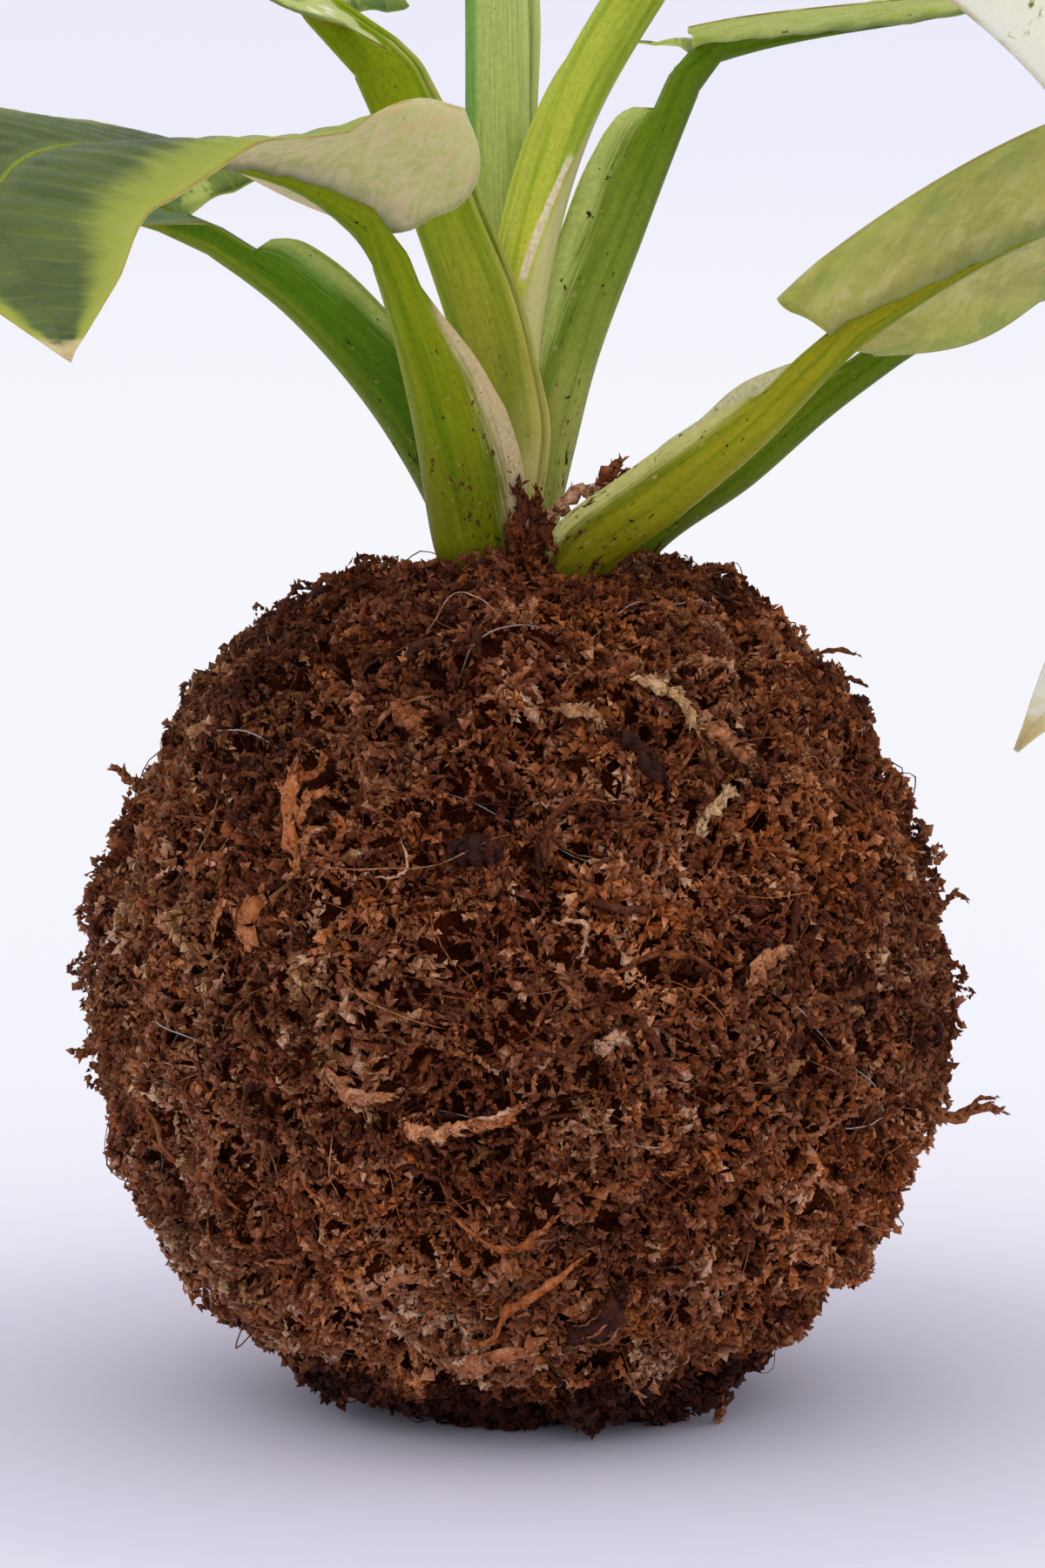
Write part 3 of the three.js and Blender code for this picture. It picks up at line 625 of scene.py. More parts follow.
def curve_at(marks, place):
    """The smooth line through the marks at places from 0 to 1: between two marks a cubic whose slopes come
    from the marks on both sides, with the square roots of their distances as its steps."""
    marks = np.asarray(marks, float)
    every = np.vstack([2 * marks[0] - marks[1], marks, 2 * marks[-1] - marks[-2]])
    x = np.clip(place, 0, 1) * (len(marks) - 1)
    first = np.minimum(x.astype(int), len(marks) - 2)
    w = (x - first)[:, None]
    a, b, c, d = (every[first + k] for k in range(4))
    root = lambda p, q: np.maximum(np.sum((q - p) ** 2, axis=1, keepdims=True), 1e-12) ** 0.25
    before, here, after = root(a, b), root(b, c), root(c, d)
    start = ((b - a) / before - (c - a) / (before + here) + (c - b) / here) * here
    end = ((c - b) / here - (d - b) / (here + after) + (d - c) / after) * here
    return b + start * w + (3 * (c - b) - 2 * start - end) * w ** 2 + (2 * (b - c) + start + end) * w ** 3


def measured(marks, share):
    """Points and directions of the smooth line at shares of its length, and that length."""
    fine = np.linspace(0, 1, FINE_PLACES)
    jumps = np.linalg.norm(np.diff(curve_at(marks, fine), axis=0), axis=1)
    run = np.concatenate([[0], np.cumsum(jumps)])
    place = np.interp(np.clip(share, 0, 1) * run[-1], run, fine)
    ahead = curve_at(marks, np.minimum(place + 1e-3, 1)) - curve_at(marks, np.maximum(place - 1e-3, 0))
    return curve_at(marks, place), unit(ahead), run[-1]


def length_of(marks):
    """The length of the smooth line through the marks."""
    return measured(marks, np.array([0.0]))[2]


print("a smooth line round a square corner of two 10 mm sides:",
      round(length_of([(0, 0, 0), (10, 0, 0), (10, 10, 0)]), 1), "mm")

# %% [markdown]
# A few strands are large enough to be known one by one: a forked rusty stem high on the left, ochre and
# red-brown curves across the middle, dark roots, pale bits of straw and hairs. The table gives where each
# starts and ends on the front of the ball, across and up, then its width, its bow to the side, how far it
# stands off, its tone and its rust. The ones after them leave the ball's outline, so they are given by points
# in space, width, tone and rust.

# %% Known strands
FRONT_STRANDS = np.array([
    (-24.0, 65.1, -23.6, 75.1, 1.5, 0.10, 1.3, 0.60, 0.95), (-23.4, 69.9, -19.9, 73.8, 0.9, 0.15, 1.5, 0.60, 0.8),
    (-23.8, 69.0, -26.2, 73.2, 0.8, -0.2, 1.2, 0.62, 0.8), (-23.6, 66.6, -21.2, 69.4, 0.8, 0.1, 1.3, 0.66, 0.5),
    (-12.6, 39.7, -6.2, 39.6, 1.4, -0.16, 1.2, 0.70, 0.7), (-6.6, 39.8, -0.1, 41.6, 1.1, -0.1, 1.1, 0.58, 0.9),
    (-5.0, 40.6, -1.2, 41.4, 0.35, 0.0, 1.7, 0.84, 0.2), (-7.8, 29.1, 3.5, 30.0, 0.8, -0.25, 1.1, 0.46, 0.95),
    (-7.3, 11.6, 6.4, 23.6, 0.9, 0.08, 1.5, 0.52, 1.0), (-7.2, 8.8, 2.4, 14.4, 2.6, 0.10, 0.9, 0.62, 0.6),
    (8.8, 54.9, 20.9, 54.1, 0.6, 0.22, 1.1, 0.34, 1.0), (32.3, 50.0, 37.3, 51.0, 0.8, 0.2, 1.3, 0.32, 1.0),
    (31.5, 48.5, 35.5, 51.8, 0.6, -0.2, 1.4, 0.36, 1.0), (-11.7, 39.5, -10.5, 34.1, 0.5, 0.2, 1.0, 0.24, 1.0),
    (-0.3, 47.6, 7.8, 52.5, 0.6, -0.25, 1.0, 0.24, 1.0), (7.8, 52.5, 14.7, 44.0, 0.6, 0.2, 1.0, 0.26, 1.0),
    (18.8, 69.6, 22.4, 73.6, 1.2, 0.10, 1.5, 0.90, -0.6), (10.7, 82.5, 18.0, 79.4, 1.4, 0.12, 1.1, 0.74, -0.7),
    (3.2, 80.9, 8.0, 79.6, 1.3, 0.15, 1.0, 0.62, -0.6), (7.7, 47.8, 10.2, 48.8, 1.4, 0.0, 1.3, 0.82, 0.3),
    (-10.2, 87.4, -2.5, 88.2, 0.14, 0.35, 1.6, 0.95, 0.0), (-22.4, 65.9, -1.9, 69.1, 0.13, -0.08, 1.9, 0.62, 0.2),
    (-15.8, 65.0, -12.9, 68.4, 0.28, -0.5, 2.0, 0.96, 0.2), (-16.1, 18.1, -9.5, 21.8, 0.9, 0.2, 1.1, 0.62, 0.4),
    (-25.4, 73.7, -20.7, 76.6, 0.9, -0.2, 1.2, 0.44, 0.9), (23.5, 53.5, 27.8, 56.8, 1.6, 0.2, 1.1, 0.62, 0.5),
    (3.0, 61.0, 5.5, 57.0, 0.5, 0.5, 1.3, 0.78, 0.2), (2.0, 66.0, 8.5, 73.0, 0.6, 0.3, 1.1, 0.26, 1.0),
    (-30.0, 56.5, -28.2, 62.5, 2.2, 0.1, 1.0, 0.60, 0.85), (-21.0, 45.5, -14.0, 42.5, 1.2, -0.2, 1.0, 0.66, 0.4),
    (-8.5, 68.2, -2.5, 67.2, 2.6, 0.0, 0.4, 0.06, 0.2), (8.0, 78.5, 14.0, 74.0, 2.0, 0.2, 0.3, 0.10, 0.5),
    (4.8, 13.4, 11.0, 19.4, 3.2, 0.0, 0.3, 0.08, 0.2), (5.2, 14.4, 9.4, 17.6, 0.3, 0.05, 1.3, 0.52, 0.0),
    (6.4, 13.8, 10.4, 17.0, 0.3, -0.05, 1.3, 0.46, 0.0), (5.0, 16.2, 8.8, 18.6, 0.25, 0.1, 1.3, 0.44, 0.0),
    (19.0, 79.2, 24.5, 76.4, 2.4, 0.10, 0.8, 0.58, 0.4), (-14.0, 81.5, -11.0, 79.0, 1.8, 0.10, 0.8, 0.52, 0.5),
])
LIGHT_FROM, LIGHT_GAIN, LIGHT_LIFT, WIDTH_GAIN = 0.4, 1.12, 0.08, 1.15
FRONT_RADIUS, FRONT_STEPS, FREE_STEPS = 50.5, 15, 12
FREE_BACK = np.array([0.1, -1.0, 0.2])
FREE_STRANDS = [
    ([(46, -3, 33.6), (49.5, -2, 32.4), (52.2, -1, 33.2), (55, 0, 33.4)], 1.5, 0.64, 0.5),
    ([(50, -1, 32.6), (52.5, -1, 34.4), (54.2, -1, 34.6)], 0.5, 0.55, 0.5),
    ([(48, 0, 56.6), (49.2, 0, 58.0), (50.6, 0, 57.4)], 0.8, 0.58, 0.4),
    ([(-46.5, -1, 41.8), (-49.4, -1, 40.6), (-52.0, 0, 39.4)], 2.0, 0.58, 0.7),
    ([(31.5, -4, 85.0), (34.5, -3, 86.2), (37.8, -2, 85.6)], 0.6, 0.42, 0.3),
    ([(34.0, -4, 81.6), (36.2, -3, 82.9), (38.6, -3, 82.2)], 0.6, 0.42, 0.4),
    ([(-43.6, -2, 70.0), (-45.6, -1, 71.6), (-46.6, -1, 72.6)], 1.1, 0.56, 0.5),
    ([(20.6, -15, 6.4), (21.8, -15.5, 3.4), (22.0, -15.8, 0.5)], 1.3, 0.72, 0.3),
    ([(6.4, -6.0, 101.8), (8.6, -6.3, 103.2), (10.4, -6.4, 104.4)], 1.3, 0.66, 0.4),
    ([(7.8, -5.4, 103.6), (9.2, -5.8, 105.6), (10.6, -5.8, 108.0)], 1.7, 0.62, 0.45),
    ([(10.4, -5.8, 104.4), (11.4, -6.0, 106.2), (12.6, -6.2, 106.0)], 1.0, 0.60, 0.45),
    ([(2.0, -9.6, 101.4), (4.6, -9.6, 103.0), (7.0, -9.4, 104.2)], 1.9, 0.86, 0.1),
    ([(-2.6, -9.6, 95), (-2.4, -10.0, 99), (-2.9, -10.2, 103.0)], 1.7, 0.24, 0.6),
    ([(-0.6, -9.8, 95), (-0.6, -10.6, 100), (-0.2, -10.8, 105.2)], 1.8, 0.31, 0.5),
    ([(1.4, -9.6, 94), (0.9, -10.8, 100), (1.3, -11.0, 104.8)], 1.7, 0.27, 0.7),
    ([(0.4, -10.6, 93), (-1.4, -11.6, 97), (-1.6, -11.8, 101.8)], 1.6, 0.36, 0.5),
    ([(3.0, -10.4, 94), (2.9, -11.4, 97.6), (2.3, -11.8, 102.0)], 1.5, 0.24, 0.7),
    ([(1.6, -11.6, 92), (0.8, -12.4, 95), (0.2, -12.8, 98.6)], 1.6, 0.38, 0.5),
    ([(3.6, -11.0, 92), (4.0, -12.2, 95), (3.4, -12.6, 98.4)], 1.5, 0.44, 0.5),
    ([(-3.4, -11.0, 92), (-3.2, -12.0, 95), (-3.8, -12.2, 97.6)], 1.4, 0.42, 0.4),
]
FRAYED_SIDES, FRAYED_LEAVES = 6, 3


def frayed(points, sides, width, tone, rust, random):
    """A strand that has come apart: a ragged tube, and leaves or torn bits of bark all round it."""
    count, steps = points.shape[:2]
    corners, faces = tubes(points, sides[0], sides[2], width, 0.55, FRAYED_SIDES, 0.25, random)
    lines = [np.repeat(each, FRAYED_LEAVES, axis=1) for each in (points, *sides)]
    shape = lines[0].shape[:2]
    size = random.uniform(0.5, 1.25, shape) * np.clip(width, 0.25, 1.3)[:, None]
    leaves = leaves_on_lines(
        *lines, size, size * random.uniform(0.4, 0.8, shape), random.uniform(0.05, 0.5, shape),
        random.uniform(-2.4, 2.4, shape), random.normal(0, 0.15, shape),
        0.36 * width[:, None, None] * random.uniform(0.4, 1.1, (*shape, 1)))
    every = lambda numbers: np.concatenate(
        [np.repeat(numbers, steps * FRAYED_SIDES), np.repeat(numbers, shape[1] * 4)])
    tone = every(tone)
    tone = np.clip(tone + np.repeat(random.normal(0, 0.05, len(tone) // 2), 2), 0, 1)
    tip = np.concatenate(
        [np.full(count * steps * FRAYED_SIDES, STRAND_TIP), np.tile(LEAF_TIP, count * shape[1])])
    both = np.vstack([faces, len(corners) + repeat_faces(LEAF_FACES, count * shape[1], 4)])
    return np.vstack([corners, leaves]), both, {"tone": tone, "rust": every(rust), "tip": tip}


def front_strands():
    """Lines on the front of the ball: from start to end in equal shares, bowed to the side by a parabola, each
    point put on the moss and lifted off it by an arch of the given height. Light strands are lightened."""
    random = np.random.default_rng(401)
    s = np.linspace(0, 1, FRONT_STEPS)[None]
    x0, z0, x1, z1, width, bow, off, tone, rust = FRONT_STRANDS.T[..., None]
    tone = np.where(tone > LIGHT_FROM, np.minimum(tone * LIGHT_GAIN + LIGHT_LIFT, 1.0), tone)
    width = width[:, 0] * WIDTH_GAIN
    x = x0 + (x1 - x0) * s - (z1 - z0) * bow * 4 * s * (1 - s)
    z = z0 + (z1 - z0) * s + (x1 - x0) * bow * 4 * s * (1 - s) - BALL_HEIGHT
    y = -np.sqrt(np.maximum(FRONT_RADIUS ** 2 - x ** 2 - z ** 2, 1.0))
    outward = unit(np.stack([x, y, z], axis=-1))
    height = (off + 0.5) * (0.35 + 0.65 * np.sin(np.pi * np.clip(s * 0.9 + 0.05, 0, 1)))
    points = CENTRE + outward * (moss_reach(outward) + 0.6 * tuft(outward) + height)[..., None]
    points = points + 0.2 * np.minimum(width, 1.2)[:, None, None] * random.normal(0, 1, points.shape)
    return frayed(points, sides_of(points, outward), width, tone[:, 0], rust[:, 0], random)


def free_strands():
    """Strands along the smooth lines through the given points."""
    random = np.random.default_rng(402)
    marks, *numbers = zip(*FREE_STRANDS)
    width, tone, rust = np.array(numbers)
    points = np.stack([measured(line, np.linspace(0, 1, FREE_STEPS))[0] for line in marks])
    points = points + 0.15 * width[:, None, None] * random.normal(0, 1, points.shape)
    return frayed(points, sides_of(points, FREE_BACK), width, tone, rust, random)


for name, (points, faces, values) in (("front_strands", front_strands()), ("free_strands", free_strands())):
    make_piece(name, points, faces, moss_material, values)

# %% [markdown]
# The plant has eight leaves. Each has a stalk that leaves the moss, two wings along the stalk that once
# wrapped the next younger leaf, and a blade that starts at the stalk's end. The table repeats the lines of
# the solids: points along each stalk and each midrib, and the ways that each blade faces. Radius is the
# stalk's at its foot, middle and end. The wings are as high as wing, up to the share sheath of the stalk;
# they grow up to the share rise and fall off over fade millimetres. The two ears at a blade's foot hang back
# as far as lobes says, and fold is how steeply its halves rise at its foot.

# %% The leaves' lines
LEAVES = {
    "front_left": dict(
        stalk=[(-3, -4.8, 86), (-5.9, -8, 96.5), (-8.6, -12, 110.5), (-11.6, -16.2, 121), (-15.6, -22, 132.8)],
        wing_side=(0.9, 0.35, 0.2), radius=(2.6, 4.0, 2.2), sheath=0.86, wing=4.6, fade=17, point=True,
        midrib=[(-24, -31, 138.5), (-35, -44, 140.5), (-47, -62, 140), (-50, -85, 134), (-44, -104, 125),
                (-40, -117, 119)],
        faces=[(-0.42, 0.06, 0.9), (0, -0.12, 0.98), (0.1, -0.25, 0.95), (0.17, -0.41, 0.85), (0.1, -0.65, 0.75)],
        half_width=22, lobes=(15.5, 2), fold=0.43, ear=(0.6, 1.15, 3.0, 0.26)),
    "left": dict(
        stalk=[(-4.4, 4, 88), (-6.6, 5.4, 100), (-13.7, 7.4, 113), (-25.4, 11.3, 125.4), (-39, 14, 134.9)],
        wing_side=(0.6, -0.15, 0.75), radius=(2.6, 3.6, 2.0), sheath=0.86, wing=3.8,
        midrib=[(-62, 19, 139.5), (-89, 27, 142), (-115, 36, 134), (-134, 42, 116)],
        faces=[(-0.35, -0.2, 0.88), (-0.2, -0.1, 0.95), (0, -0.2, 0.94), (-0.3, -0.3, 0.9), (-0.6, -0.25, 0.7)],
        half_width=24, lobes=(8, 8)),
    "upper_left": dict(
        stalk=[(-0.4, -4.2, 93.5), (-1.4, -4.4, 103), (-4.2, -4.2, 119), (-11.2, -4.3, 139), (-18.6, -5, 155.8)],
        wing_side=(0.8, -0.35, 0.5), radius=(2.5, 3.4, 2.7), sheath=0.95, wing=3.0,
        midrib=[(-36, -8, 171), (-60, -13, 181), (-87, -19, 178), (-110, -25, 161)],
        faces=[(-0.5, -0.2, 0.8), (-0.25, -0.3, 0.9), (0, -0.4, 0.9), (-0.3, -0.4, 0.85), (-0.65, -0.3, 0.7)],
        half_width=25, lobes=(7, 7)),
    "top": dict(
        stalk=[(-3.2, 2.6, 93.5), (-3.4, 3.6, 104), (-4.2, 8, 128), (-4.6, 13, 158), (-5.5, 19, 186)],
        wing_side=(0.85, -0.5, 0), radius=(2.0, 2.7, 2.1), sheath=0.88, wing=4.6,
        midrib=[(-7, 31, 211), (-10, 52, 230), (-14, 80, 234), (-18, 106, 220)],
        faces=[(0.1, -0.9, 0.4), (0.05, -0.75, 0.66), (0, -0.4, 0.9), (0, 0.1, 1), (0, 0.5, 0.85)],
        half_width=24, lobes=(7, 7)),
    "upper_right": dict(
        stalk=[(-1, 3, 93.5), (-1.2, 2.6, 104), (-1.2, 2.6, 122), (4.6, 1.5, 145.7), (17.6, -3, 168.1)],
        wing_side=(-0.75, 0.5, 0.4), radius=(2.2, 3.1, 3.2), sheath=0.74, wing=1.2, fade=20,
        midrib=[(37, -21, 176), (57, -43, 169), (72, -59, 149), (75, -66, 119), (49.5, -60, 79.5)],
        faces=[(-0.5, 0.1, 0.85), (-0.35, -0.3, 0.9), (-0.3, -0.6, 0.75), (0.05, -0.9, 0.42),
               (0.15, -0.98, 0.1), (0.1, -0.97, -0.2)],
        half_width=22.5, lobes=(8, 8)),
    "right_back": dict(
        stalk=[(1, 3.6, 93.5), (1.5, 4.2, 103), (4.6, 5.8, 118), (11.4, 9.6, 135), (19.8, 17, 154.7)],
        wing_side=(-0.85, -0.1, 0.35), radius=(2.4, 3.4, 2.3), sheath=0.86, wing=4.2, rise=0.62,
        midrib=[(42, 25, 159.5), (71, 35, 163), (100, 45, 156), (123, 52, 139)],
        faces=[(-0.45, -0.14, 0.87), (-0.15, -0.05, 0.98), (0, 0, 1), (0.35, 0, 0.9), (0.65, 0, 0.7)],
        half_width=23, lobes=(6, 5), fold=0.06),
    "right_front": dict(
        stalk=[(3.6, -4.4, 86), (6.6, -11.6, 97), (15.6, -15, 104.2), (24.6, -17.6, 111.4), (33.6, -20, 120.6)],
        wing_side=(-0.4, 0.15, 0.85), radius=(2.7, 3.2, 2.2), sheath=0.8, wing=2.2, fade=16,
        midrib=[(58, -13, 134.2), (84, -10, 141), (111, -9, 137), (133, -9, 120)],
        faces=[(-0.5, 0.6, 0.6), (-0.35, 0.45, 0.8), (-0.1, 0.3, 0.95), (0.35, 0.2, 0.9), (0.65, 0.1, 0.72)],
        half_width=21, lobes=(-7, 6.5), fold=0.02),
    "right_low": dict(
        stalk=[(6.2, 4.4, 86), (13.4, 7, 98.4), (24.9, 9.5, 106.6), (34.1, 12, 114.2), (45, 15.2, 122)],
        wing_side=(-0.62, -0.05, 0.78), radius=(2.4, 2.7, 2.2), sheath=0.83, wing=5.6, fade=16, rise=0.5,
        midrib=[(67, 29, 128.5), (87, 51, 129), (105, 74, 120), (117, 91, 101)],
        faces=[(-0.4, -0.3, 0.85), (-0.15, -0.3, 0.93), (0.05, -0.2, 0.97), (0.4, 0.1, 0.9), (0.6, 0.3, 0.72)],
        half_width=22, lobes=(4, 4)),
}
print("stalks in mm:", {name: round(length_of(leaf["stalk"])) for name, leaf in LEAVES.items()})

# %% [markdown]
# A blade turns as it runs: near its stalk it faces up and back over it, and further out it nods and twists.
# Turning it by one angle a step would let it drift, so it follows a few given directions instead, blended
# along the midrib and kept square to it.

# %% Lines of the blades
MIDRIB_RISE, MIDRIB_LEAD = 0.75, 0.3


def square_to(vectors, ahead):
    """The vectors with their part along ahead taken out, as directions."""
    return unit(vectors - np.sum(vectors * ahead, axis=1, keepdims=True) * ahead)


def blade_marks(leaf):
    """The marks of the midrib with its first, which lies on the flat of the stalk's end."""
    up = unit(np.array(leaf["faces"][0], float))
    first = np.array(leaf["stalk"][-1], float) + up * leaf["radius"][2] * MIDRIB_RISE
    toward = unit(np.array(leaf["midrib"][0], float) - first)
    return np.vstack([first + MIDRIB_LEAD * toward, leaf["midrib"]])


def blade_facing(leaf, share, forward):
    """The way the blade faces at shares of its midrib: the given directions blended, square to the midrib."""
    faces = unit(np.array(leaf["faces"], float))
    place = share * (len(faces) - 1)
    first = np.minimum(place.astype(int), len(faces) - 2)
    return square_to(faces[first] + (faces[first + 1] - faces[first]) * (place - first)[:, None], forward)


print("blades in mm:", {name: round(length_of(blade_marks(leaf))) for name, leaf in LEAVES.items()})

# %% [markdown]
# A stalk is one outline carried along its line. A curve with a bevel profile can't change its profile as it
# runs, and this one does. It is a round back with a groove in front, whose two walls are the wings; cutting
# its corners once rounds it. Past the end of the wings the outline closes to a plain D, and it runs on under
# the blade as the midrib, thinner and thinner, as on the real leaf.

# %% The stalks
WING_THICKNESS = 0.6
STALK_RINGS, STALK_SHARE = 60, 0.94
RIB_RINGS, RIB_START, RIB_LENGTH, RIB_END = 26, 0.03, 76.0, 0.25
PLAIN_FADE, PLAIN_RISE = 4.5, 0.3
BACK_CORNERS, BACK_FROM = 17, 20
WINGED = [0.25, 0.55, 0.8, 1, 1, 0.6, 0.2]


def cut_corners(ring, axis):
    """Each corner of a closed ring replaced by two, a quarter of the way to its neighbours."""
    after = np.roll(ring, -1, axis=axis)
    return np.stack([0.75 * ring + 0.25 * after, 0.25 * ring + 0.75 * after], axis=axis + 1)


def stalk_outline(radius, height, flare):
    """Rings of outline points, and how far each belongs to a wing: an arc of 220 degrees for the back, the
    outer walls of the wings up to their tips, the inner walls down to the groove, then every corner cut."""
    r, h = radius[:, None], height[:, None]
    open_ = np.minimum(1, h / 1.5)
    tip = r * 0.72 + h
    outer = r * 0.66 + (r * 0.5 - r * 0.66) * open_ + flare[:, None] * open_
    inner = np.maximum(outer - WING_THICKNESS - 0.25 * (1 - open_), r * 0.12)
    floor = r * 0.66 + (r * 0.3 - r * 0.66) * open_
    angle = np.radians(np.linspace(180 - BACK_FROM, 360 + BACK_FROM, BACK_CORNERS))[None]
    back = np.stack([r * np.cos(angle), r * np.sin(angle)], axis=-1)
    edge_x, edge_y = r * math.cos(math.radians(BACK_FROM)), r * math.sin(math.radians(BACK_FROM))
    right = [(edge_x + (outer - edge_x) * share + bulge * r, edge_y + (tip - edge_y) * share)
             for share, bulge in ((0.3, 0.05), (0.6, 0.05), (0.85, 0.02), (1.0, 0.0))]
    right += [(inner, tip * 0.985), ((inner + inner * 0.75) / 2, (tip * 0.97 + floor) / 2),
              (inner * 0.6, floor)]
    left = [(-x, y) for x, y in reversed(right)]
    walls = np.stack([np.concatenate([x, y], axis=1) for x, y in right + left], axis=1)
    ring = cut_corners(np.concatenate([back, walls], axis=1), 1)
    wing = cut_corners(np.concatenate([np.zeros(BACK_CORNERS), WINGED, WINGED[::-1]]), 0)
    return ring.reshape(len(radius), -1, 2), wing.ravel()


def stalk_skin(leaf):
    """The rings of a stalk and of its midrib: place = line + outline x * across + outline y * wing side. The
    lines run along it by the distance and round it by the share of the ring."""
    low = np.linspace(0, STALK_SHARE, STALK_RINGS)
    beyond = np.linspace(RIB_START, 1, RIB_RINGS)
    stem, _, stem_length = measured(leaf["stalk"], low)
    marks, out = blade_marks(leaf), beyond * RIB_LENGTH
    along = out / length_of(marks)
    rib, rib_ahead, _ = measured(marks, along)
    facing = blade_facing(leaf, along, rib_ahead)
    base, middle, top = leaf["radius"]
    taper = 0.4 * np.maximum(1 - out / RIB_LENGTH, 0) + 0.6 * np.exp(-out / 8)
    thin = RIB_END + (top - RIB_END) * taper
    line = np.vstack([stem, rib - facing * (thin * 0.72 + 0.1)[:, None]])
    ahead = unit(np.gradient(line, axis=0))
    radius = base + (middle - base) * smooth(0, 0.3, low)
    radius = radius + (top - radius) * smooth(0.3, 1, low)
    left = np.clip((leaf["sheath"] - low) / (leaf.get("fade", PLAIN_FADE) / stem_length), 0, 1)
    end = left if leaf.get("point") else np.sqrt(1 - (1 - left) ** 2)
    ripple = 1 + 0.05 * np.sin(low * 23 + leaf["wing"]) * smooth(0.1, 0.4, low)
    height = leaf["wing"] * smooth(0.05, leaf.get("rise", PLAIN_RISE), low) * end * ripple
    radius, height = np.concatenate([radius, thin]), np.concatenate([height, np.zeros(RIB_RINGS)])
    side = square_to(np.vstack([np.tile(leaf["wing_side"], (STALK_RINGS, 1)), facing]), ahead)
    across = np.cross(side, ahead)
    share = np.concatenate([low, 1 + beyond])
    outline, wing = stalk_outline(radius, height, 0.12 * height * np.sin(share * 9 + 1.0))
    corners = outline.shape[1]
    points = line[:, None] + across[:, None] * outline[..., :1] + side[:, None] * outline[..., 1:]
    far = np.concatenate([low * stem_length, stem_length + out]) / 100
    lines = np.stack([np.repeat(far, corners), np.tile(np.linspace(0, 1, corners), len(far))], axis=1)
    values = {"lines": lines, "wing": (wing * np.clip(height / 1.5, 0, 1)[:, None]).ravel(),
              "share": np.repeat(share, corners)}
    return points.reshape(-1, 3), close_tube(len(share), corners), values

# %% [markdown]
# The skin of a stalk is smooth and a little waxy, with fine lines that run along it. It is yellow-green,
# darker and more olive near the soil, and its wings pale to cream at their thin edges. Damp soil has left
# dark specks and smears near its foot, and one stalk has a strip of its papery old sheath. The lines follow
# the UV map, so that they turn with the stalk.

# %% The colours of the stalks
def make_stalk_group():
    """Layers from the green body outwards, each mixed over those before it by a number from 0 to 1."""
    group, given = new_group(
        "stalk_skin", Place=None, Lines=None, Share=0.5, Wing=0.0, Low=(0.2, 0.2, 0.02), High=(0.3, 0.35, 0.05),
        Edge=(0.6, 0.55, 0.35), Soil=1.0, Pale=0.0, Spread=0.0, Strip=0.0, Dusk=0.0, Dusk_Place=0.4)
    place, at, share, wing, low, high, edge, soil, pale, spread, strip, shade_strength, shade_place = given
    stretched = lambda x, y: add_node("ShaderNodeMapping", {"Vector": at, "Scale": (x, y, 1.0)})
    lines = noise(stretched(5.0, 60.0), 3.0, 4.0)
    stripes = noise(stretched(1.2, 7.0), 2.0, 2.0, 0.5)
    cells = noise(place, 1500.0, 2.0)
    broad = noise(place, 70.0)
    # the two greens, the stripes between them and the fine lines
    rise = share + (broad - 0.5) * 0.5
    body = mix(step(rise, 0.05, 0.85), low, high)
    body = mix(step(stripes, 0.42, 0.66), body, mix(0.55, body, (0.30, 0.60, 0.12), "MULTIPLY"))
    body = mix(1.0, body, 1.0 + ((lines - 0.5) * 0.9 + (cells - 0.5) * 0.5), "MULTIPLY")
    # the pale foot and the pale wings
    foot = step(rise + lines * 0.2, pale, 0.12)
    body = mix(foot * step(pale, 0.1, 0.3), body, edge)
    thin = wing + (broad - 0.5) * 0.7 + spread + (lines - 0.5) * 0.7
    body = mix(step(thin, 0.55, 1.05), body, mix((cells - 0.3) * 0.9, edge, body))
    # painted shade in a band along the back, and the papery strip with its rim
    around = add_node("ShaderNodeSeparateXYZ", {"Vector": at}, "Y")
    band = step(abs(around - shade_place), 0.10, 0.05)
    body = mix(band * shade_strength, body, mix(1.0, body, (0.42, 0.72, 0.50), "MULTIPLY"))
    past = around - ((share - 0.18) * 0.45 + (stripes - 0.5) * 0.03)
    rim = step(past, 0.01, 0.06) * step(around, 0.42, 0.36)
    body = mix(rim * strip * 0.6, body, (0.74, 0.64, 0.42))
    paper = step(abs(share - 0.53), 0.105, 0.085) * step(abs(past), 0.024, 0.016)
    paper = paper * step(lines, 0.25, 0.45) * strip
    body = mix(paper, body, mix(step(cells, 0.4, 0.6), (0.84, 0.66, 0.42), (0.96, 0.84, 0.62)))
    # scars, and soil in specks and smears, most near the foot
    earth = soil * (step(share, 0.75, 0.10) * 0.085 + 0.01)
    smears = noise(stretched(9.0, 6.0), 1.7, 6.0, 0.72)
    dots = noise(stretched(46.0, 24.0), 1.8) + (smears - 0.5) * 0.8
    dirt = maths("MAXIMUM", step(dots + earth, 0.70, 0.75), step(smears + earth * 1.2, 0.675, 0.72))
    dirt = dirt * step(cells, 0.28, 0.45) * step(soil, 0.1, 0.6)
    scar = step(noise(stretched(30.0, 15.0), 2.6, 2.0), 0.69, 0.72)
    body = mix(scar * 0.75, body, mix(stripes, (0.30, 0.10, 0.05), (0.66, 0.46, 0.28)))
    body = mix(dirt, body, mix(step(cells, 0.45, 0.62), (0.020, 0.010, 0.006), (0.13, 0.045, 0.018)))
    return close_group(group, body, dirt * 0.4 + 0.38, lines + dirt * 0.6)


stalk_group = make_stalk_group()
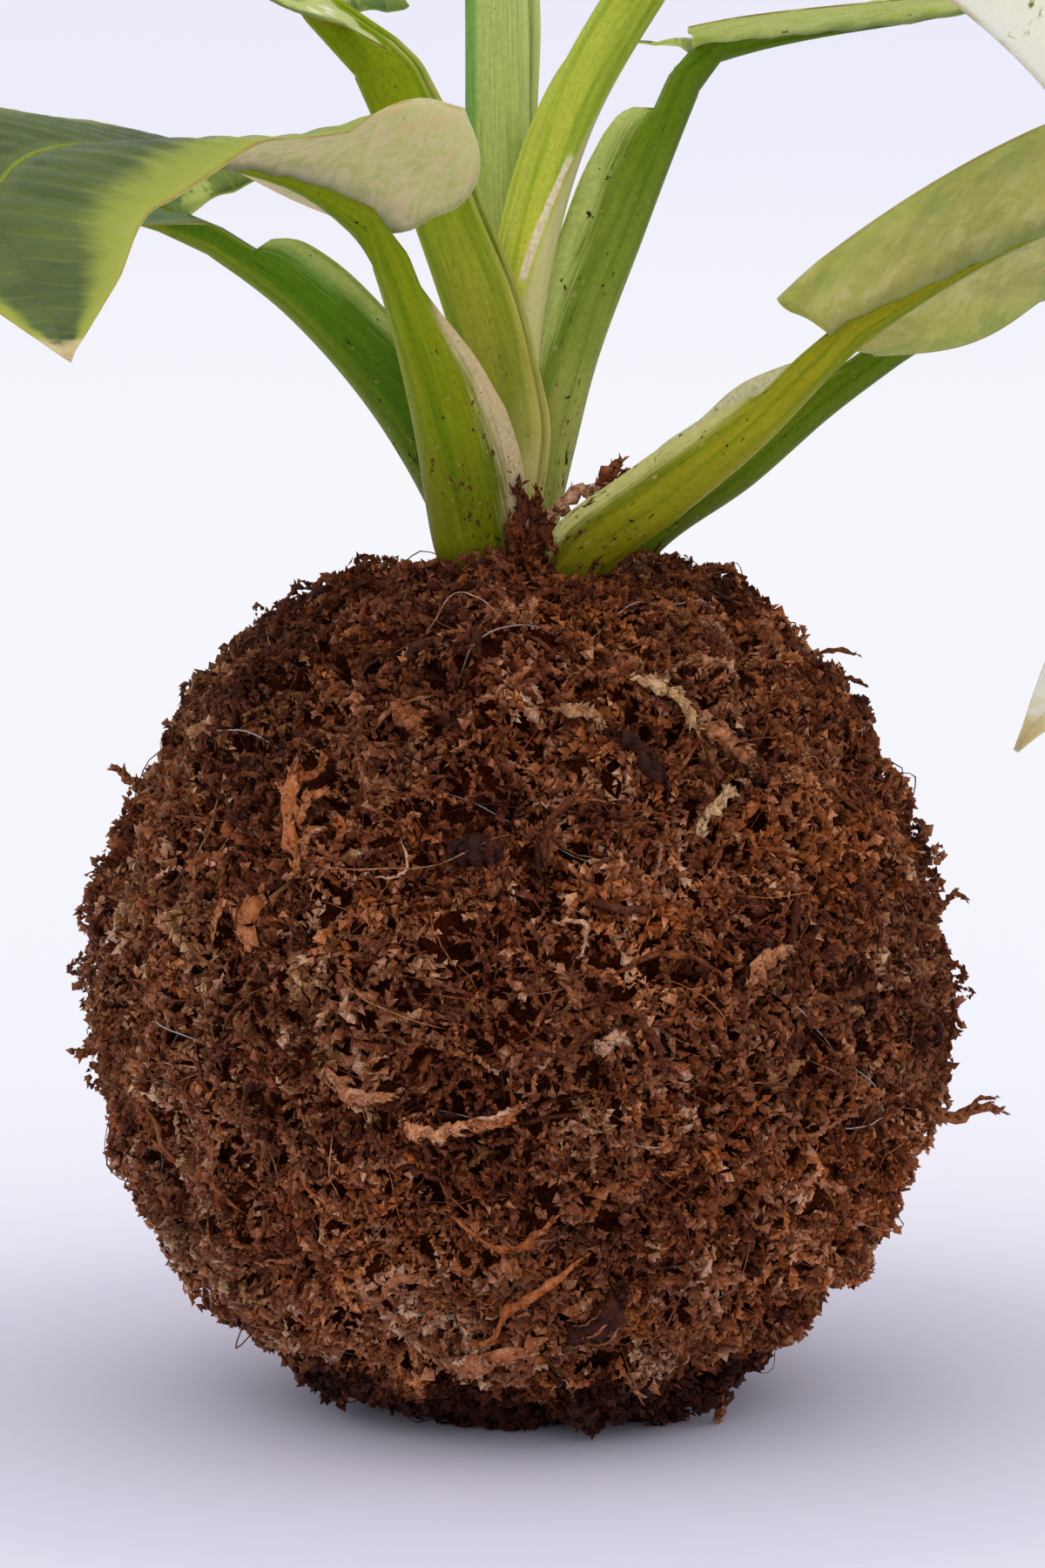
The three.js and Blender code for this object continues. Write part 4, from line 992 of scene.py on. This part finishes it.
# The left and top stalks get a band of painted shade along their backs.
STALK_COLOURS = {
    "front_left": dict(Low=(0.130, 0.115, 0.002), High=(0.24, 0.29, 0.006), Edge=(0.72, 0.54, 0.33), Spread=0.36),
    "left": dict(Low=(0.110, 0.160, 0.004), High=(0.20, 0.27, 0.012), Edge=(0.46, 0.52, 0.15), Spread=0.22,
                 Dusk=0.8, Dusk_Place=0.52),
    "upper_left": dict(Low=(0.38, 0.33, 0.05), High=(0.27, 0.34, 0.006), Edge=(0.62, 0.55, 0.20), Soil=0.35,
                       Pale=0.45, Spread=-0.2),
    "top": dict(Low=(0.42, 0.48, 0.12), High=(0.46, 0.54, 0.15), Edge=(0.58, 0.64, 0.26), Soil=0.0, Dusk=1.0),
    "upper_right": dict(Low=(0.78, 0.76, 0.065), High=(0.52, 0.58, 0.07), Edge=(0.66, 0.66, 0.20), Soil=0.1,
                        Spread=-0.2, Strip=1.0),
    "right_back": dict(Low=(0.42, 0.42, 0.10), High=(0.17, 0.27, 0.012), Edge=(0.66, 0.72, 0.24), Soil=0.8,
                       Spread=0.30),
    "right_front": dict(Low=(0.150, 0.115, 0.002), High=(0.32, 0.31, 0.012), Edge=(0.60, 0.58, 0.22), Soil=1.3,
                        Spread=0.33),
    "right_low": dict(Low=(0.11, 0.15, 0.004), High=(0.13, 0.20, 0.006), Edge=(0.82, 0.76, 0.48), Spread=0.25),
}
for name, leaf in LEAVES.items():
    points, faces, values = stalk_skin(leaf)
    material = skin_material(
        f"stalk_{name}", stalk_group, ("lines", "share", "wing"), strength=0.35, size=0.0004,
        tints=STALK_COLOURS[name], Subsurface_Weight=0.25, Subsurface_Radius=(1.0, 1.0, 0.3),
        Subsurface_Scale=0.0012, Specular_IOR_Level=0.05)
    make_piece(f"stalk_skin_{name}", points, faces, material, values, replaces=(f"stalk_{name}",))

# %% [markdown]
# A blade is two sheets close together, an upper and an under side, joined round their rim. One sheet with a
# Solidify modifier would have the same veins on both sides; a real leaf's are pressed into the upper side and
# stand out of the lower one. Both sheets follow the midrib, rise a little to each side of it and wave at the
# edge, and the side veins leave the midrib at a slant.

# %% The blades
BLADE_ROWS, BLADE_COLUMNS = 72, 43
LAMINA, RIDGE = 0.42, 1.5
VEIN_GAP, VEIN_WIDTH = 5.6, 0.9
WIDEST = 0.36
LOBE_POWER, LOBE_CUT, CUT_POWER, PLAIN_FOLD = 1.4, 0.2, 7.0, 0.22
PLAIN_EAR = (LOBE_POWER, LOBE_CUT, CUT_POWER, 0.0)


def blade_width(u):
    """The width at share u of the blade as a part of the widest: a sine rise, then a long cosine."""
    rise = 0.42 + 0.58 * np.sin(np.minimum(u / WIDEST, 1) * np.pi / 2)
    fall = np.maximum(np.cos(np.clip((u - WIDEST) / (1 - WIDEST), 0, 1) * np.pi / 2), 0) ** 0.95
    return np.where(u < WIDEST, rise, np.maximum(fall, 0.012))


def blade_sheets(leaf):
    """Two grids of u along and v across. Place = midrib + side * x + facing * (fold + wave - ripple). The upper
    grid is less bell curves for the pressed veins and the groove of the midrib, the lower one less the
    lamina's thickness and bell curves for the veins and the raised midrib."""
    u, v = np.meshgrid(np.linspace(0, 1, BLADE_ROWS) ** 1.08, np.linspace(-1, 1, BLADE_COLUMNS), indexing="ij")
    v = np.sign(v) * np.abs(v) ** 1.1
    u, v = u.ravel(), v.ravel()
    marks = blade_marks(leaf)
    length = length_of(marks)
    power, cut, cut_power, flare = leaf.get("ear", PLAIN_EAR)
    wide = np.abs(v)
    lobe = np.where(v < 0, leaf["lobes"][0] * (wide ** power - cut * wide ** cut_power),
                    leaf["lobes"][1] * (wide ** LOBE_POWER - LOBE_CUT * wide ** CUT_POWER))
    along = u * length - (1 - u) ** 3 * lobe
    share = np.maximum(along / length, 0)
    point, forward, _ = measured(marks, share)
    facing = blade_facing(leaf, share, forward)
    side = np.cross(forward, facing)
    x = v * leaf["half_width"] * (blade_width(u) + np.sign(-v) * flare * np.exp(-u / 0.10))
    steep = leaf.get("fold", PLAIN_FOLD)
    steep = steep + (PLAIN_FOLD - steep) * smooth(0.05, 0.35, u)
    fold = steep * (np.sqrt(x ** 2 + 1.2) - 1.095) - 0.0045 * x ** 2
    wave = 1.3 * v * v * np.sin(u * 13 + np.where(v > 0, 0.6, 2.4)) * (1 - u)
    vein = (along - 0.55 * np.abs(x) - 0.012 * x ** 2) / VEIN_GAP + 0.5 * (v > 0)
    to_vein = np.minimum(vein % 1, 1 - vein % 1) * VEIN_GAP
    pressed = np.exp(-(to_vein / VEIN_WIDTH) ** 2) * (1 - v ** 4) * smooth(0.8, 3, np.abs(x))
    ripple = 0.10 * np.cos(2 * np.pi * vein) * (1 - v ** 6)
    groove = 0.5 * (1 - u) * np.exp(-(x / 0.9) ** 2)
    rib = RIDGE * (1 - u) ** 1.2 * np.exp(-(x / (1.1 + 1.1 * (1 - u))) ** 2)
    thick = LAMINA * (1 - 0.6 * wide ** 6)
    base = point + forward * np.minimum(along, 0)[:, None] + side * x[:, None] \
        + facing * (fold + wave - ripple)[:, None]
    upper = base - facing * (0.16 * pressed + groove)[:, None]
    lower = base - facing * (thick + 0.14 * pressed + rib)[:, None]
    values = {"along": u, "across": x / 10, "edge": wide, "vein": vein}
    values = {key: np.tile(numbers, 2) for key, numbers in values.items()}
    return np.vstack([upper, lower]), {**values, "upper": np.repeat([1.0, 0.0], u.size)}


def close_sheets(rows, columns):
    """The triangles of two grids that lie face to face, with a rim of triangles round them."""
    sheet, under = grid_faces(rows, columns, ring=False), rows * columns
    across, down = np.arange(columns - 1), np.arange(rows - 1)
    rim = np.concatenate(
        [across, down * columns + columns - 1, under - 1 - across, (rows - 1 - down) * columns])
    on = np.roll(rim, -1)
    return np.vstack([sheet, under + sheet[:, ::-1], np.stack([on, rim, under + rim], 1),
                      np.stack([on, under + rim, under + on], 1)])

# %% [markdown]
# The blades are patterned: two greens, a pale yellow-green and cream share each leaf differently, in streaks
# that run out along the side veins. The underside is duller. A thin reddish-brown line runs along the edge,
# and some tips have dried. A painted picture would fit one leaf, while noise gives eight different ones. The
# group reads where a point lies on its own leaf, so the pattern follows the veins.

# %% The colours of the blades
def make_leaf_group():
    """Layers from the two greens outwards, each mixed over those before it by a number from 0 to 1. The
    pattern is noise in three numbers: along the side vein, out from the midrib, and which leaf and half."""
    group, given = new_group(
        "patterned_leaf", Place=None, Along=0.5, Across=0.0, Edge=0.0, Vein=0.0, Upper=1.0, Seed=0.0,
        Dark=(0.040, 0.085, 0.028), Mid=(0.13, 0.22, 0.05), Pale=(0.42, 0.48, 0.16), Cream=(0.78, 0.76, 0.55),
        Under=(0.34, 0.36, 0.17), Pale_Share=0.5, Cream_Share=0.3, Dry_Tip=0.0, Margin=0.0,
        Flush=(0.5, 0.3, 0.2), Rim=(0.16, 0.22, 0.05))
    place, along, across, edge, vein, upper, seed, dark, mid, pale, cream, under, *given = given
    pale_share, cream_share, dry_tip, margin, flush, rim = given
    far = abs(across)
    half = maths("SIGN", across) * 7.0
    streaks = add_node("ShaderNodeCombineXYZ", {0: vein * 0.55, 1: far * 0.45, 2: seed + half})
    torn = noise(streaks, 3.2, 5.0, 0.62)
    mottle = noise(place, 240.0, 4.0)
    # the greens, the pale streaks, the cream blotches and the pale margin
    pattern = noise(streaks, 1.0, 2.0, 0.5) * 0.7 + torn * 0.3
    body = mix(step(pattern + mottle * 0.3, 0.50, 0.76), dark, mid)
    body = mix(step(pattern - (0.78 - pale_share * 0.5), -0.015, 0.03), body, pale)
    blotch = pattern * 0.75 + mottle * 0.25
    body = mix(step(blotch - (0.80 - cream_share * 0.5), -0.012, 0.02), body, cream)
    body = mix(step(edge + torn * 0.5, 0.72, 1.05) * margin, body, pale)
    # the underside
    below = 1.0 - upper
    webs = step(noise(place, 330.0, 4.0, 0.65, 1.2), 0.30, 0.68)
    dull = mix(webs, mix(1.0, under, (0.70, 0.80, 0.55), "MULTIPLY"), under)
    dull = mix(step(mottle, 0.48, 0.64) * 0.5, dull, flush)
    dull = mix(step(edge + (mottle - 0.5) * 1.6, 0.62, 1.0) * 0.7, dull, rim)
    body = mix(below * 0.86, body, dull)
    # the veins, the midrib, the brown edge, the dry tip and a few specks
    vein_line = step(maths("PINGPONG", vein, 0.5), 0.09, 0.0) * step(edge, 1.0, 0.6)
    body = mix(vein_line * 0.14, body, pale)
    body = mix(step(far, 0.22, 0.07) * step(along, 1.0, 0.3) * 0.7, body, mix(0.6, pale, mid))
    body = mix(step(edge, 0.965, 1.0) * step(mottle, 0.3, 0.6) * 0.75, body, (0.20, 0.085, 0.035))
    dry = step(along + (torn - 0.5) * 0.05, 0.962, 0.982) * dry_tip
    body = mix(dry, body, mix(mottle, (0.30, 0.20, 0.085), (0.62, 0.52, 0.34)))
    speck = step(noise(place, 520.0, 2.0, 0.5), 0.735, 0.76)
    body = mix(speck * 0.8, body, (0.06, 0.045, 0.015))
    fine = maths("PINGPONG", vein * 9.0, 0.5)
    return close_group(group, body, below * 0.16 + 0.36 + mottle * 0.15, fine * 0.8 + mottle * 0.8)


leaf_group = make_leaf_group()
LEAF_COLOURS = {
    "front_left": dict(Dark=(0.022, 0.042, 0.010), Mid=(0.050, 0.085, 0.018), Pale=(0.22, 0.255, 0.035),
                       Under=(0.56, 0.49, 0.35), Flush=(0.70, 0.52, 0.42), Rim=(0.54, 0.34, 0.25),
                       Pale_Share=0.16, Cream_Share=0.05, Dry_Tip=1.0, Seed=3.1, Margin=0.9),
    "left": dict(Under=(0.34, 0.42, 0.20), Flush=(0.42, 0.50, 0.26), Cream_Share=0.35, Seed=9.4),
    "upper_left": dict(Under=(0.24, 0.33, 0.11), Flush=(0.34, 0.42, 0.18), Pale_Share=0.55, Cream_Share=0.45,
                       Seed=17.7),
    "top": dict(Under=(0.44, 0.50, 0.20), Flush=(0.52, 0.58, 0.30), Pale_Share=0.8, Cream_Share=0.5, Seed=24.2),
    "upper_right": dict(Cream=(0.68, 0.67, 0.54), Under=(0.62, 0.61, 0.46), Flush=(0.64, 0.65, 0.48),
                        Rim=(0.50, 0.50, 0.32), Pale_Share=0.7, Cream_Share=0.80, Dry_Tip=1.0, Seed=31.9),
    # This blade's Under and Flush are partly its underside's own paler green and partly painted light, raised so
    # that it looks lit through where it faces down into shade.
    "right_back": dict(Under=(0.66, 0.74, 0.26), Flush=(0.80, 0.82, 0.48), Rim=(0.50, 0.60, 0.20),
                       Pale_Share=0.7, Cream_Share=0.45, Seed=40.6),
    "right_front": dict(Under=(0.40, 0.35, 0.13), Flush=(0.55, 0.47, 0.27), Pale_Share=0.55, Cream_Share=0.35,
                        Seed=52.3),
    "right_low": dict(Under=(0.22, 0.33, 0.08), Flush=(0.32, 0.40, 0.13), Cream_Share=0.4, Dry_Tip=1.0,
                      Seed=63.8),
}
for name, leaf in LEAVES.items():
    points, values = blade_sheets(leaf)
    material = skin_material(
        f"leaf_{name}", leaf_group, ("along", "across", "edge", "vein", "upper"), strength=0.25, size=0.0003,
        tints=LEAF_COLOURS[name], Subsurface_Weight=0.7, Subsurface_Radius=(1.0, 1.0, 0.4),
        Subsurface_Scale=0.003, Specular_IOR_Level=0.12)
    make_piece(f"leaf_{name}", points, close_sheets(BLADE_ROWS, BLADE_COLUMNS), material, values,
               replaces=(f"blade_{name}",))

# %% [markdown]
# The ball is bound with clear nylon line, thin as a hair. Most of it has sunk between the moss leaves, and
# only short stretches glint. Three bevelled circles would do for it if the ball were round. As it isn't, each
# loop is a ring tipped over towards one side, laid on the same shoulder curve as the moss, and pulled into the
# moss where a cloud of random numbers says so.

# %% The binding line
THREAD_LOOPS = [(0.21, -0.8), (0.694, 0.759), (1.09, 2.2)]
THREAD_STEPS, THREAD_SIDES, THREAD_RADIUS = 260, 6, 0.08
THREAD_PROUD, THREAD_SUNK = 0.2, 3.2


def thread_loops():
    """Rings of radius reach + proud - sunk, tipped by tilt and turned by heading, each a closed tube."""
    points = []
    angle = np.linspace(0, 2 * np.pi, THREAD_STEPS, endpoint=False)
    side = np.linspace(0, 2 * np.pi, THREAD_SIDES, endpoint=False)[None, :, None]
    for number, (tilt, heading) in enumerate(THREAD_LOOPS):
        flat = np.stack(
            [np.cos(angle) * math.cos(tilt), np.sin(angle), -np.cos(angle) * math.sin(tilt)], axis=1)
        axis = np.array([math.sin(tilt), 0, math.cos(tilt)])
        cos, sin = math.cos(heading), math.sin(heading)
        turn = np.array([[cos, sin, 0], [-sin, cos, 0], [0, 0, 1]])
        out, across = flat @ turn, axis @ turn
        sunk = THREAD_SUNK * smooth(-0.45, 0.1, cloud(out * BALL_RADIUS, 9.0, 41 + number))
        reach = (moss_reach(out) + THREAD_PROUD - sunk)[:, None, None]
        ring = out[:, None] * (reach + THREAD_RADIUS * np.cos(side)) + across * THREAD_RADIUS * np.sin(side)
        points.append((CENTRE + ring).reshape(-1, 3))
    tube = grid_faces(THREAD_STEPS, THREAD_SIDES, loop=True)[:, ::-1]
    return above_floor(np.vstack(points)), repeat_faces(tube, len(points), THREAD_STEPS * THREAD_SIDES)


def make_nylon():
    """Clear plastic, more or less cloudy by noise."""
    material, shader, place = new_material("clear_nylon", Transmission_Weight=0.7, IOR=1.45)
    cloudy = noise(place, 300.0)
    feed(shader.inputs, {"Base Color": mix(cloudy, (0.62, 0.56, 0.50), (0.88, 0.86, 0.84)),
                         "Roughness": cloudy * 0.23 + 0.12})
    return material


points, faces = thread_loops()
make_piece("nylon_line", points, faces, make_nylon(), replaces=("binding_thread",))

# %% [markdown]
# Two solids stay as they are, hidden in the ball: the core of soil and the short stem that the inner stalks
# grow from. They get their own finishes all the same, crumbly dark peat and ringed green bark.

# %% Soil and stem
def make_soil():
    """Crumbs by noise, the higher the paler."""
    material, shader, place = new_material("dark_peat", Specular_IOR_Level=0.2)
    crumbs = noise(place, 420.0, 6.0, 0.7)
    browns = ramp(crumbs, (0.3, 0.008, 0.004, 0.002), (0.55, 0.035, 0.018, 0.010), (0.75, 0.12, 0.070, 0.040))
    finish_material(shader, browns, roughness=0.95, height=crumbs, strength=1.0, size=0.002)
    return material


def make_stem():
    """Rings of olive and green by a wave along the height."""
    material, shader, place = new_material("ringed_stem", Specular_IOR_Level=0.35)
    waves = {"Vector": place, "Scale": 60.0, "Distortion": 2.0, "Detail": 3.0}
    rings = add_node("ShaderNodeTexWave", waves, "Fac", bands_direction="Z")
    bark = ramp(rings, (0.0, 0.14, 0.10, 0.04), (0.3, 0.20, 0.24, 0.05), (1.0, 0.30, 0.36, 0.10))
    finish_material(shader, bark, roughness=0.6, height=rings, strength=0.5, size=0.0006)
    return material


for node_name, material in (("soil_core", make_soil()), ("cane", make_stem())):
    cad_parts[node_name].data.materials.clear()
    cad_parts[node_name].data.materials.append(material)
    print(node_name, "->", material.name)

# %% [markdown]
# The stage is a plain pale floor that pales to the white of the room behind. A sheet of paper that bends up
# behind the ball would do this too, but a flat disc that glows more with the distance looks the same from
# every side. The light is that of a bright room: it comes from all round and most of it from above, so that
# the ball has a soft dark shadow close to its foot and hardly any beyond.

# %% The stage and the light
FLOOR_RADIUS, FLOOR_CORNERS = 6.0, 48
FADE_FROM, FADE_HALF = 0.08, 0.072
BLACK, FAR_WHITE = (0.0, 0.0, 0.0), (0.93, 0.935, 0.975)


def make_floor():
    """A wide disc. Its colour is the paper's near the ball; past where the fade starts, d / (d + the half
    distance) of it is white glow."""
    material, shader, place = new_material("pale_floor", Roughness=0.8, Specular_IOR_Level=0.0)
    reach = add_node("ShaderNodeVectorMath", {0: place}, "Value", operation="LENGTH")
    beyond = maths("MAXIMUM", reach - FADE_FROM, 0.0)
    far = beyond / (beyond + FADE_HALF)
    paper = mix(noise(place, 700.0, 4.0), (0.810, 0.790, 0.940), (0.835, 0.815, 0.970))
    feed(shader.inputs, {"Base Color": mix(far, paper, BLACK), "Emission Color": mix(far, BLACK, FAR_WHITE),
                         "Emission Strength": 1.0})
    around = np.linspace(0, 2 * np.pi, FLOOR_CORNERS, endpoint=False)
    points = np.stack([np.cos(around), np.sin(around), 0 * around], axis=1) * FLOOR_RADIUS
    mesh = bpy.data.meshes.new("floor")
    mesh.from_pydata(points, [], [range(FLOOR_CORNERS)])
    mesh.materials.append(material)
    add_object("floor", mesh)


def make_lamp(name, place, aim, size, watts, tint):
    """A square area lamp that faces the point aim."""
    lamp_data = bpy.data.lights.new(name, "AREA")
    lamp_data.size, lamp_data.energy, lamp_data.color = size, watts, tint
    lamp = add_object(name, lamp_data)
    lamp.location = place
    away = Vector(aim) - Vector(place)
    lamp.rotation_euler = away.to_track_quat("-Z", "Y").to_euler()


def make_room():
    """A sky whose colour the camera sees pale, a little greyer upwards, and that lights more from above."""
    world = bpy.data.worlds.new("white_room")
    world.use_nodes = True
    tree = world.node_tree
    toward = add_node("ShaderNodeTexCoord", {}, "Generated", tree)
    upward = add_node("ShaderNodeSeparateXYZ", {"Vector": toward}, "Z")
    shown = mix(step(upward, -0.04, 0.09), FAR_WHITE, (0.835, 0.83, 0.96))
    shed = mix(step(upward, -0.2, 0.9), (0.80, 0.80, 0.83), (0.93, 0.92, 0.95))
    seen = add_node("ShaderNodeLightPath", {}, "Is Camera Ray", tree)
    feed(tree.nodes["Background"].inputs, {"Color": mix(seen, shed, shown)})
    bpy.context.scene.world = world


make_floor()
make_room()
make_lamp("key", (0.0, -0.22, 1.2), aim=(0, 0, 0.08), size=1.1, watts=2.3, tint=(1.0, 0.99, 0.97))
make_lamp("fill", (0.1, -1.1, 0.65), aim=(0, 0, 0.07), size=0.8, watts=1.5, tint=(1.0, 0.98, 0.98))
print("stage, room and lamps set")
